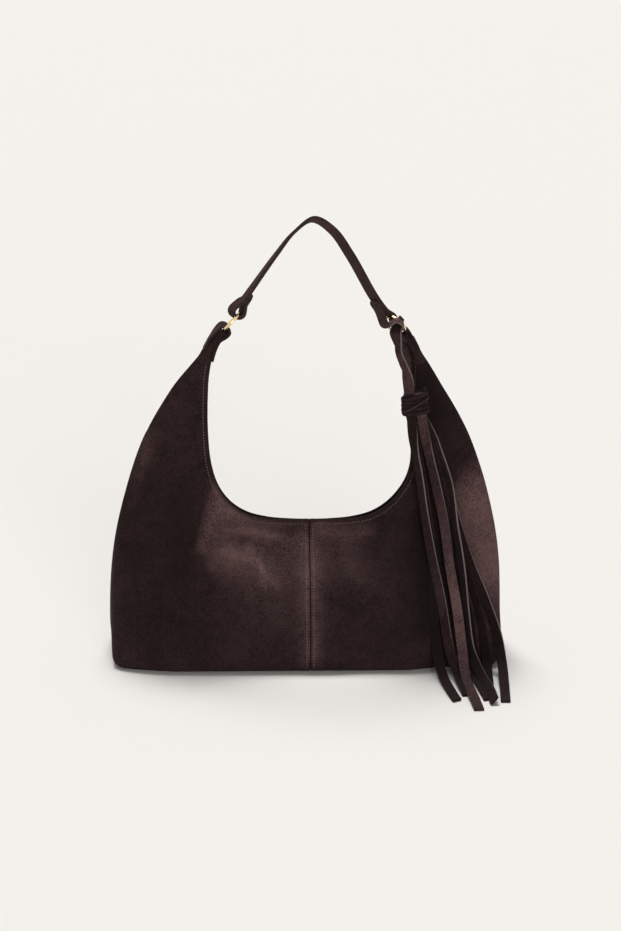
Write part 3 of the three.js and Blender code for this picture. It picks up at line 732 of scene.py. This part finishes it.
for s in shares:
    wavy = vec(0, 0, LINING_FLOOR + 0.5 * math.sin(9 * s))
    floor_rows.append(half_edge * vec(0.995, 1 - 2 * s, 0) + wavy)
lining_faces.extend(sheet_faces(len(floor_rows), len(half_edge), len(lining_spots)).tolist())
lining_spots.extend(slumped(np.concatenate(floor_rows)))
lining = make_mesh("lining_pouch", lining_spots, lining_faces, [lining_cotton])
settle(lining, "bag", "lining", "lining")

# %% [markdown]
# ## The rings
#
# Each ring is a plain round wire ring. It is pulled along its strap leg and rolled about that line: the
# left one is seen nearly edge-on, the right one half open. The same three directions place the tab, the
# strap's eye and the tassel on it.

# %% Ring frames
RING_WIRE, RING_OUTER = 3, 26
RING_RADIUS = (RING_OUTER - RING_WIRE) / 2
RING_STEPS, WIRE_SIDES = 72, 20
SEAT_GAP = 0.45
RING_ROLL = {"left": 8, "right": 39}
ABOVE_HORN = {"left": 5.9, "right": 1.5}
pull_angle = math.radians(47)
horn_middle = (float(half_width(HORN_HEIGHT)) + RIM_POINTS[-1][0]) / 2
horn_half = float(half_width(HORN_HEIGHT)) - horn_middle


def ring_frame(side, roll, above_horn):
    """A ring's directions, and its lowest, middle and highest spot on the line of pull."""
    pull = vec(-side * math.cos(pull_angle), 0, math.sin(pull_angle))
    flat = vec(side * math.sin(pull_angle), 0, math.cos(pull_angle))
    wire = vec(0, -math.cos(roll), 0) + math.sin(roll) * flat
    broad = vec(0, math.sin(roll), 0) + math.cos(roll) * flat
    lower = vec(side * horn_middle, 0, HORN_HEIGHT) + (horn_half + above_horn) * pull
    centre = lower + RING_RADIUS * pull
    upper = centre + RING_RADIUS * pull
    spots = {"lower": lower, "centre": centre, "upper": upper}
    return {"side": side, "pull": pull, "wire": wire, "broad": broad} | spots


rings = {side: ring_frame(across, math.radians(RING_ROLL[side]), ABOVE_HORN[side]) for side, across in SIDES}


def wire_bow(width):
    """How far the ring's wire curves away from an eye's middle at the edge of a band."""
    return RING_RADIUS - math.sqrt(RING_RADIUS**2 - (width / 2) ** 2)


print("ring centres", [ring["centre"].round(2) for ring in rings.values()])

# %% Rings
for side, ring in rings.items():
    spots, faces = [], []
    for i in range(RING_STEPS):
        a = 2 * math.pi * i / RING_STEPS
        out = math.cos(a) * ring["pull"] + math.sin(a) * ring["wire"]
        here, ahead = i * WIRE_SIDES, (i + 1) % RING_STEPS * WIRE_SIDES
        for n in range(WIRE_SIDES):
            b = 2 * math.pi * n / WIRE_SIDES
            round_wire = math.cos(b) * out + math.sin(b) * ring["broad"]
            spots.append(ring["centre"] + RING_RADIUS * out + RING_WIRE / 2 * round_wire)
            m = (n + 1) % WIRE_SIDES
            faces.append((here + n, here + m, ahead + m, ahead + n))
    piece = make_mesh(f"ring_{side}_gold", spots, faces, [gold_plate])
    settle(piece, f"ring_{side}", "gold", f"ring_{side}")

# %% [markdown]
# ## The ring tabs
#
# A short strip of suede folds through each ring and is sewn on both edges of the horn: one limb on the
# side seam, one on the rim. It is a thick band, so its edges are painted like the rim. The tip of the
# horn is rolled and goes up between the two limbs, almost to the ring, which fills the loop.

# %% Ring tabs
TAB_WIDTH, TAB_THICKNESS, TAB_EYE = 13, 2.4, 4.4
TAB_OUTER, TAB_INNER = 12, 24
TAB_LEAN = {"left": 0.45, "right": 0.15}
TIP_WIDTH, TIP_TAPER = 12.4, 0.68
SEAM_GAP = 0.3


def rim_across(z):
    """How far across the rim lies at a height on its upright part."""
    upper = rim_fine[len(rim_fine) // 2 :]
    return np.interp(z, upper[:, 2], upper[:, 0])


for side, ring in rings.items():
    middle = TAB_EYE + TAB_THICKNESS / 2
    slack = TAB_EYE - RING_WIRE / 2 - wire_bow(TAB_WIDTH) - SEAT_GAP
    eye = ring["lower"] - slack * ring["pull"]
    clear = TAB_THICKNESS / 2 + SEAM_GAP
    points, turns = [], []
    for drop, proud in ((TAB_OUTER, -0.6), (TAB_OUTER / 2, 0.3), (0, 0.9)):
        z = HORN_HEIGHT - drop
        points.append(vec(ring["side"] * (float(half_width(z)) + clear * proud), 0, z))
        turns.append(0)
    for angle in (60, 0, -60, -106):
        a = math.radians(angle)
        points.append(eye + middle * (math.cos(a) * ring["pull"] + math.sin(a) * ring["broad"]))
        turns.append(1)
    for share in (1 / 8, 1 / 2, 1):
        z = HORN_HEIGHT - TAB_INNER * share
        points.append(vec(ring["side"] * (rim_across(z) - clear * 0.3), 0, z))
        turns.append(0)
    spots, place = smooth_path(points, 90)
    turn = np.interp(place, np.arange(len(turns)), turns)[:, None]
    ways = (1 - turn) * vec(0, -1, 0) + turn * (ring["wire"] - TAB_LEAN[side] * ring["broad"])
    tab_skin = [body_suede, edge_paint_and_groove_shade]
    piece = band(f"ring_tab_{side}_suede", spots, ways, TAB_WIDTH, TAB_THICKNESS, tab_skin, 0.7, nap_and_shading=0.2)
    settle(piece, "bag", "suede", f"ring_tab_{side}")
    top = ring["lower"] - (RING_WIRE / 2 + 0.3) * ring["pull"]
    rolled = []
    for z in (HORN_HEIGHT - 26, HORN_HEIGHT - 14, HORN_HEIGHT - 4):
        rolled.append(vec(ring["side"] * (float(half_width(z)) + rim_across(z)) / 2, 0, z))
    rolled.append(top)
    spots = smooth_path(rolled, 40)[0]
    ways = spots * 0 + vec(1, 0, 0)
    taper = np.linspace(1, TIP_TAPER, len(spots))
    tip_skin = [body_suede, body_suede]
    core = band(f"horn_tip_{side}_suede", spots, ways, TIP_WIDTH, TAB_WIDTH + 0.6, tip_skin, 4, taper, 0)
    settle(core, "bag", "suede")

# %% [markdown]
# ## The strap
#
# The strap is one long band. Each end goes round its ring from outside to inside and is sewn to itself,
# which leaves an eye that faces its own way. The right leg is turned a little, so more of its face shows.

# %% Strap ends
STRAP_WIDTH, STRAP_THICKNESS, STRAP_EYE = 14, 3.4, 4.6
STRAP_TOP, EDGE_RISE = 464.5, 1.6
END_ROUND, END_BLUNT = 7, 0.6
LEG_ACROSS, LEG_UP = 0.574, 0.819


def strap_end(ring, way, along, aside, fold):
    """One end of the strap: from the fold's end, round an eye that faces way, and up the standing leg."""
    middle = STRAP_EYE + STRAP_THICKNESS / 2
    half = (STRAP_THICKNESS + SEAM_GAP) / 2
    eye = ring["upper"] + along * ring["pull"] + aside * ring["broad"]
    leg = vec(-ring["side"] * LEG_ACROSS, 0, LEG_UP)
    up = unit(leg - np.dot(leg, way) * way)
    across = -ring["side"] * np.cross(way, up)
    out = unit(across - np.dot(across, leg) * leg)
    points = [eye + leg * fold - out * half, eye + leg * fold * 0.58 - out * half]
    points.append(eye + up * middle * 1.4 - across * half * 1.6)
    for angle in (-81.8, -45, 0, 45, 81.8):
        a = math.radians(angle)
        points.append(eye - middle * math.cos(a) * up + middle * math.sin(a) * across)
    points.append(eye + up * middle * 1.4 + across * half * 1.6)
    points.append(eye + leg * fold * 0.58 + out * half)
    points.append(eye + leg * (fold + 4) + out * half)
    return points


def end_ways(leg, eye):
    """The directions of the strap's width at the points of one end, which turns from the leg to the eye."""
    return [leg, leg + eye] + [eye] * 7 + [leg + eye, leg]


print("eyes of", 2 * STRAP_EYE, "mm for a wire of", RING_WIRE, "mm")

# %% Strap
strap_middle = STRAP_TOP - EDGE_RISE - STRAP_THICKNESS / 2
arch = [(-37, 0, -36), (-19, 0, -13), (0, 0, 0), (19, 0, -11), (37, 0, -36)]
arch = [vec(x, y, strap_middle + z) for x, y, z in arch]
left_leg, left_eye = unit(vec(0.12, -0.98, -0.09)), unit(vec(0.4, -0.92, 0))
right_leg = rings["right"]["wire"]
right_eye = unit(0.9 * right_leg + 0.1 * vec(0, -1, 0))
left_end = strap_end(rings["left"], left_eye, along=0.8, aside=3.2, fold=22)
right_end = strap_end(rings["right"], right_eye, along=-2, aside=-2.2, fold=26)
strap_points = left_end + arch + right_end[::-1]
arch_ways = [(0.03, -1, 0.05), (0.06, -0.96, 0.3), (0.2, -0.86, 0.5), (0.4, -0.8, 0.45), (0.5, -0.78, 0.37)]
stop_ways = end_ways(left_leg, left_eye) + [vec(*way) for way in arch_ways] + end_ways(right_leg, right_eye)
strap_spots, place = smooth_path(strap_points, 320)
strap_ways = read_at(place, np.arange(len(stop_ways)), unit(stop_ways))
strap_far = distance_along(strap_spots)
to_end = np.minimum(strap_far, strap_far[-1] - strap_far)
rounded = np.sqrt(1 - np.clip(1 - (to_end + END_BLUNT) / END_ROUND, 0, 1) ** 2)
strap_skin = [body_suede, body_suede]
strap = band(
    "strap_suede", strap_spots, strap_ways, STRAP_WIDTH, STRAP_THICKNESS, strap_skin, 1, rounded, 0.15
)
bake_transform(strap)
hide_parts("strap")
print("strap", len(strap.data.polygons), "faces")

# %% [markdown]
# ## The tassel's strips
#
# Eight flat strips hang from the wrap, fan out down the front of the bag and end on the table. They are
# free to move. Each strip's route is a list of points from the wrap to the tip. The strips are cut by
# hand, so their width wanders a little and they twist a little on the way. Every other one shows its raw
# cut edge.

# %% Wrap frame
WRAP_FOOT = vec(105.5, -25, 265.5)
WRAP_UP = unit(vec(-0.13, 0.06, 1))
WRAP_FRONT = unit(np.cross(vec(1, 0, 0), WRAP_UP))
WRAP_ACROSS = np.cross(WRAP_UP, WRAP_FRONT)
WRAP_HEIGHT = 25
STRIP_WIDTH, STRIP_THICKNESS, STRIP_GAP, SOFT_EDGE = 10, 1.6, 0.35, 0.9


def wrap_slot(column_side, layer, height):
    """A place in the wrap: the left or right column, the layer from front to back, and the height."""
    across = column_side * (STRIP_WIDTH + STRIP_GAP) / 2
    back = -layer * (STRIP_THICKNESS + STRIP_GAP)
    return WRAP_FOOT + WRAP_UP * height + WRAP_ACROSS * across + WRAP_FRONT * back


print("wrap stands", WRAP_FOOT[2], "mm high and leans", WRAP_UP.round(3))

# %% Strip routes
# Each strip's nap and shading value is mostly painted light and shade: the strips that hang behind the
# others are darker, and strip 3, in front, is lighter.
STRIPS = [
    {
        "place": (-1, -2),
        "nap_and_shading": -0.22,
        "turn": 12,
        "route": [(103.4, -27.5, 238), (110.6, -27, 200), (117, -27, 160), (124.8, -38, 117)]
        + [(134.5, -53.5, 73), (142.5, -64, 28), (149.5, -81.5, 8), (153, -109, 3.5), (155, -126, 1.5)],
    },
    {
        "place": (-1, 1),
        "nap_and_shading": -0.6,
        "route": [(106.5, -22, 236.5), (114.5, -20.5, 193), (121.5, -21.5, 150), (126, -33.5, 108.5)]
        + [(126.5, -49.5, 66), (129.5, -59.5, 26.5), (134, -83.5, 7)]
        + [(139.5, -118.5, 3), (143.5, -139, 1.5)],
    },
    {
        "place": (1, -2),
        "nap_and_shading": 0.45,
        "route": [(116, -28.5, 238.5), (127, -27, 195), (137, -27, 151.5), (143, -38.5, 109.5)]
        + [(150, -55.5, 69), (155.5, -66, 28), (157, -95, 8), (161, -138, 3.5), (163, -162, 1.5)],
    },
    {
        "place": (1, 0),
        "nap_and_shading": -0.35,
        "route": [(119.5, -24.5, 237), (133.5, -22.5, 193.5), (145.5, -23.5, 149), (154.5, -39.5, 105)]
        + [(157.5, -49, 61), (161.5, -58.5, 25.5), (167, -77.5, 8), (172, -110, 4), (175.5, -136.5, 1.5)],
    },
    {
        "place": (1, -1),
        "nap_and_shading": -0.5,
        "route": [(125, -26.5, 237.5), (140.5, -25.5, 194), (148.5, -30, 150), (155, -44, 108.5)]
        + [(159, -56, 67.5), (165.5, -65.5, 23.5), (172.5, -93.5, 9.5)]
        + [(178.5, -127.5, 6.5), (180, -148.5, 5)],
        "edge_on": (0, 0, 0, 0, 0, 30, 35, 35, 30, 5, 0, 0),
        "lift": (0, 0, 0, 0, 0, 0, 0, 0, 0.2, 0.8, 1, 1),
    },
    {
        "place": (1, 2),
        "nap_and_shading": -0.8,
        "route": [(124.5, -20.5, 236), (139.5, -18, 192), (151, -17.5, 148), (161.5, -33.4, 103.5)]
        + [(175, -49, 57.5), (181.5, -58.8, 18.5), (181, -81.5, 6), (179.5, -105.5, 2)],
    },
    {
        "place": (1, 1),
        "nap_and_shading": -0.3,
        "route": [(124.5, -22.5, 236.5), (139, -20, 192.5), (150.5, -20, 149), (164.5, -36, 109)]
        + [(180.5, -48, 73), (192.5, -54, 40), (196.5, -72.5, 14), (195, -106, 5), (192, -142.5, 1.5)],
    },
    {
        "place": (-1, 2),
        "nap_and_shading": -0.95,
        "route": [(109, -20, 236), (122, -17.5, 192), (137, -17.5, 148), (150.5, -31.2, 103.5)]
        + [(163, -45.5, 61), (168, -53.8, 23.5), (171, -62, 9), (173, -79, 4)],
    },
]
print(len(STRIPS), "strips of", STRIP_WIDTH, "mm")

# %% Fringe strips
for number, strip in enumerate(STRIPS, start=1):
    hand = random.Random(40 + number)
    held = [wrap_slot(*strip["place"], height) for height in (WRAP_HEIGHT - 2, WRAP_HEIGHT / 2, 0)]
    points = held + [vec(*spot) for spot in strip["route"]]
    spots, place = smooth_path(points, 120)
    down = np.linspace(0, 1, len(spots))
    sway = hand.uniform(28, 38) + 12 * np.sin(down * hand.uniform(4, 8) + hand.uniform(0, 6))
    twist = (sway + strip.get("turn", 0)) * ease(0.05, 0.2, down) * (1 - ease(0.72, 0.9, down))
    edge_on = np.interp(place, np.arange(len(points)), strip.get("edge_on", [0] * len(points)))
    angle = np.radians(twist + edge_on)
    lift = np.interp(place, np.arange(len(points)), strip.get("lift", [0] * len(points)))
    ways = np.stack([np.cos(angle), -np.sin(angle), lift], axis=1)
    swell = 1 + 0.03 * np.sin(down * hand.uniform(12, 20) + hand.uniform(0, 6))
    nap_and_shading = strip["nap_and_shading"] + 0.35 * np.sin(down * hand.uniform(5, 9) + hand.uniform(0, 6))
    skin = [strip_suede, cut_edge] if number % 2 else [strip_suede]
    tip = hand.uniform(-0.35, 0.35)
    thick = STRIP_THICKNESS + SOFT_EDGE
    name = f"fringe_strip_{number}_suede"
    piece = band(name, spots, ways, STRIP_WIDTH, thick, skin, 0.3, swell, nap_and_shading, tip)
    settle(piece, "tassel", "suede", f"fringe_strip_{number}")

# %% [markdown]
# ## The hanger and the wrap
#
# One strip is folded over the right ring's wire, where it is gathered, and both its legs go down into the
# wrap. A short bight of it crosses in front of the legs. The wrap is a flat thong wound tightly round the
# bundle five times, with one more turn that crosses the others at a slant. It is a band along a winding
# line whose turns are an oval, because the bundle is wider than it is deep. Dark grooves part the turns:
# the thong's narrow edges take the edge paint's dark colour as painted shade.

# %% Tassel hanger
HANGER_WIDTH, HANGER_THICKNESS, HITCH_SHIFT = 9, 2.6, 1.8
RING_PULL = rings["right"]["pull"]
hitch = rings["right"]["centre"] + RING_RADIUS * rings["right"]["wire"] + HITCH_SHIFT * RING_PULL
FLAT, TURNED, EDGEWISE = vec(-1, 0, 0), vec(-0.75, 0.66, 0), vec(-0.58, 0.82, 0)
hanger_stops = [
    (wrap_slot(-1, -1, 3), FLAT),
    (wrap_slot(-1, -1, WRAP_HEIGHT - 2) + vec(1, 0, 0), FLAT),
    (vec(97.6, -21.8, 303), TURNED),
    (vec(91.4, -20.6, 318), TURNED),
    (vec(87, -19.4, 329), EDGEWISE),
    (vec(86.2, -17, 340), EDGEWISE),
    (vec(85.6, -14.6, 350), EDGEWISE + 0.3 * RING_PULL),
    (hitch + vec(-0.8, -3.4, -3), 0.3 * TURNED + 0.7 * RING_PULL),
    (hitch + vec(0.2, -2.6, 1.2), RING_PULL),
    (hitch + vec(1.2, 0.3, 2.9), RING_PULL),
    (hitch + vec(0.6, 3.2, 1.5), RING_PULL),
    (hitch + vec(-2.5, 2.2, -4), 0.2 * FLAT + 0.8 * RING_PULL),
    (vec(82.2, -9.5, 349), 0.7 * FLAT + 0.3 * RING_PULL),
    (vec(85.4, -11.4, 340), FLAT),
    (vec(91.4, -13.4, 329), FLAT),
    (vec(94.8, -15.4, 318), FLAT),
    (vec(95.6, -18.2, 303), FLAT),
    (wrap_slot(-1, 0, WRAP_HEIGHT - 2), FLAT),
    (wrap_slot(-1, 0, 3), FLAT),
]
spots, place = smooth_path([spot for spot, way in hanger_stops], 170)
ways = read_at(place, np.arange(len(hanger_stops)), [way for spot, way in hanger_stops])
over_wire = ease(346, 355, spots[:, 2])
raw_skin = [strip_suede, cut_edge]
gathers, nap_and_shading = 1 - 0.3 * over_wire, 0.25 - 1.3 * over_wire
hanger = band(
    "tassel_hanger_suede", spots, ways, HANGER_WIDTH, HANGER_THICKNESS, raw_skin, 0.3, gathers, nap_and_shading
)
settle(hanger, "tassel", "suede", "tassel_hanger")

# %% Bight of the hanger
BIGHT_WIDTH, BIGHT_THICKNESS = 5.6, 2
bight = [(79.8, -5, 357.6), (78.2, -10.5, 356.6), (79.6, -14.8, 359.2), (83, -17, 361.8)]
bight += [(87, -16, 361), (90.2, -12.4, 357.4), (91.8, -8.2, 352.6)]
spots = smooth_path(bight, 70)[0]
ways = spots * 0 + vec(0.1, 0.7, 0.7)
bar = band("tassel_hanger_bight", spots, ways, BIGHT_WIDTH, BIGHT_THICKNESS, raw_skin, 0.4, nap_and_shading=0.8)
settle(bar, "tassel", "suede")

# %% Tassel wrap
THONG_WIDTH, THONG_THICKNESS = 4.3, 3.6
WRAP_WIDE, WRAP_DEEP, WRAP_TURNS, TURN_STEPS = 11.8, 7, 5, 14
FIRST_TURN, WRAP_CLIMB, HAND_WANDER = 2.6, 20, 0.25
# The thong's narrow edges and their corners, which take the edge paint's dark colour as painted shade in the
# grooves between the turns.
SHADED_GROOVE_FACES = (0, 3, 4, 5, 8, 9)


def around_bundle(turns, height, lift):
    """A point on the oval round the bundle, after some turns, at a height and lifted off it."""
    a = 2 * math.pi * turns
    across = (WRAP_WIDE + lift) * math.cos(a)
    front = (WRAP_DEEP + lift) * math.sin(a)
    return WRAP_FOOT + WRAP_ACROSS * across + WRAP_FRONT * front + WRAP_UP * height


wind = random.Random(3)
thong = []
for step in range(WRAP_TURNS * TURN_STEPS + 1):
    turns = step / TURN_STEPS
    share = turns / WRAP_TURNS
    lean = (0.6 + 2 * share) * math.cos(2 * math.pi * turns)
    height = FIRST_TURN + WRAP_CLIMB * share + lean + wind.uniform(-HAND_WANDER, HAND_WANDER)
    thong.append(around_bundle(turns, height, 0.3 + 0.5 * math.sin(turns * 5.1)))
spots = smooth_path(thong, 480)[0]
lean = 0.12 * np.sin(np.linspace(0, 40, len(spots)))[:, None]
ways = WRAP_UP + lean * unit(spots - WRAP_FOOT)
thong_skin = [strip_suede, edge_paint_and_groove_shade]
wrap = band(
    "tassel_wrap_suede", spots, ways, THONG_WIDTH, THONG_THICKNESS, thong_skin, 0.8, nap_and_shading=0, edges=SHADED_GROOVE_FACES
)
settle(wrap, "tassel", "suede", "tassel_wrap")

# %% Crossing turn
CROSSING_WIDTH, CROSSING_FROM, CROSSING_CLIMB = 3.6, 6, 11
crossing = []
for share in np.linspace(0, 1, 13):
    height = CROSSING_FROM + CROSSING_CLIMB * ease(0.1, 0.9, share)
    crossing.append(around_bundle(0.5 - 0.5 * share, height, 2.1 - 1.4 * (2 * share - 1) ** 4))
spots = smooth_path(crossing, 90)[0]
ways = spots * 0 + WRAP_UP
name = "tassel_wrap_crossing_turn"
over = band(name, spots, ways, CROSSING_WIDTH, THONG_THICKNESS, thong_skin, 0.8, nap_and_shading=0.15, edges=SHADED_GROOVE_FACES)
settle(over, "tassel", "suede")

# %% [markdown]
# ## Stitching
#
# The rim and the centre seam are sewn through with about eight stitches to the inch. Each stitch is a
# short length of thread that dips into the suede at both ends: its profile gives the place along it, the
# thickness and the lift of five sections. A row of them is one small mesh. The thread is drawn thicker
# than real, so that it shows.

# %% A row of stitches
STITCH_PITCH, STITCH_LENGTH, THREAD, THREAD_SIDES = 3.1, 2.2, 0.85, 6
STITCH_PROFILE = [(-0.5, 0.6, -0.2), (-0.34, 0.9, 0.05), (0, 1, 0.2), (0.34, 0.9, 0.05), (0.5, 0.6, -0.2)]


def stitch_row(name, spots, normals, nap_and_shading):
    """Stitches along a line that lies on the leather."""
    far = distance_along(spots)
    verts, faces, shade = [], [], []
    for middle in np.arange(STITCH_PITCH / 2, far[-1], STITCH_PITCH):
        at = np.array([middle + share * STITCH_LENGTH for share, thick, lift in STITCH_PROFILE])
        lines, ups = read_at(at, far, spots), unit(read_at(at, far, normals))
        # Painted shade: a stitch is as dark as the shaded suede under it, and its two ends, where it dips
        # into the leather, are darker still.
        dark = np.minimum(np.interp(middle, far, nap_and_shading), 0)
        along = unit(lines[-1] - lines[0])
        start = len(verts)
        for (share, thick, lift), line, up in zip(STITCH_PROFILE, lines, ups):
            shade += [dark - (abs(share) == 0.5)] * THREAD_SIDES
            aside = np.cross(along, up)
            for n in range(THREAD_SIDES):
                a = 2 * math.pi * n / THREAD_SIDES
                round_thread = math.cos(a) * aside + math.sin(a) * up
                verts.append(line + up * (lift * THREAD) + THREAD / 2 * thick * round_thread)
        end = len(verts)
        for first in range(start, end - THREAD_SIDES, THREAD_SIDES):
            for n in range(THREAD_SIDES):
                a, b = first + n, first + (n + 1) % THREAD_SIDES
                faces.append((a, b, b + THREAD_SIDES, a + THREAD_SIDES))
        faces.append(tuple(range(start, start + THREAD_SIDES))[::-1])
        faces.append(tuple(range(end - THREAD_SIDES, end)))
    row = make_mesh(name, verts, faces, [sewing_thread], sharp=180, nap_and_shading=shade)
    settle(row, "bag", "suede")


print("stitches every", STITCH_PITCH, "mm")

# %% Rows along the seams and the rim
def on_body(x, z, depth, folds):
    """Points and normals of the worked surface at given distances across and heights."""
    x, z = np.asarray(x, dtype=float), np.asarray(z, dtype=float)
    turn = turn_at(x, z)
    plain, normals = body_point(turn, z), body_normal(turn, z)
    high, nap_and_shading = relief(x, z, nearest(plain, rim_on_body), nearest(plain, grid_spots[::3, -1]), folds)
    flip = np.stack([np.where(x < 0, -1, 1), np.full(len(x), depth), np.ones(len(x))], axis=1)
    return slumped((plain + normals * high[:, None]) * flip), normals * flip, nap_and_shading


for face, depth, folds in FACES:
    for side, across in SIDES:
        z = np.linspace(5, RIM_HEIGHT - STITCH_FROM_RIM, 120)
        seam = on_body(0 * z + across * STITCH_FROM_SEAM, z, depth, folds)
        stitch_row(f"{face}_seam_stitches_{side}", *seam)
        way = unit(np.gradient(rim_fine[:, ::2], axis=0))
        hem = rim_fine[:, ::2] + STITCH_FROM_RIM * np.stack([way[:, 1], -way[:, 0]], axis=1)
        keep = (hem[:, 1] < HORN_HEIGHT - TAB_INNER) & (hem[:, 0] > STITCH_FROM_SEAM)
        rim = on_body(hem[keep, 0] * across, hem[keep, 1], depth, folds)
        stitch_row(f"{face}_rim_stitches_{side}", *rim)

# %% [markdown]
# ## Floor and light
#
# The bag stands on a plain pale sheet under soft studio light. All lamps are suns with wide discs: a key
# from the front, a little from the right, and a bank of three above and behind, which gives the short
# soft shadow at the base. A weak even sky fills the rest, and the camera sees the sheet's own cream
# beyond its edge.

# %% Floor
FLOOR_REACH = 40000
paper, tree, shader = new_material("cream_paper")
fill(tree, shader, {"Base Color": colour("#f6f3ee"), "Roughness": 0.9, "Specular IOR Level": 0.1})
corners = [(FLOOR_REACH * x, FLOOR_REACH * y, 0) for x, y in ((-1, -1), (1, -1), (1, 1), (-1, 1))]
floor = make_mesh("floor", corners, [(0, 1, 2, 3)], [paper])

# %% Light
world = bpy.data.worlds.new("studio")
scene.world = world
world.use_nodes = True
tree = world.node_tree
sky = tree.nodes["Background"]
fill(tree, sky, {"Color": colour("#ffffff"), "Strength": 0.12})
rays = add_node(tree, "LightPath").outputs
seen = add_node(tree, "Math", {0: rays["Is Camera Ray"], 1: rays["Is Glossy Ray"]}, operation="MAXIMUM")
backdrop = add_node(tree, "Background", {"Color": colour("#f3f0eb"), "Strength": 1})
mixed = add_node(tree, "MixShader", {0: seen.outputs[0], 1: sky.outputs[0], 2: backdrop.outputs[0]})
fill(tree, tree.nodes["World Output"], {"Surface": mixed.outputs[0]})

LAMPS = {"key_lamp": {"energy": 1.52, "disc": 30, "points": (-0.16, 0.96, -0.16)}}
for number, across in enumerate((-0.06, 0.09, 0.24), start=1):
    LAMPS[f"top_lamp_{number}"] = {"energy": 0.87, "disc": 18, "points": (across, -0.34, -1)}
for name, lamp in LAMPS.items():
    lamp_data = bpy.data.lights.new(name, "SUN")
    lamp_data.energy = lamp["energy"]
    lamp_data.angle = math.radians(lamp["disc"])
    light = bpy.data.objects.new(name, lamp_data)
    light.rotation_euler = Vector(lamp["points"]).to_track_quat("-Z", "Y").to_euler()
    scene.collection.objects.link(light)
scene.view_settings.view_transform = "Standard"
print(len(LAMPS), "lamps")
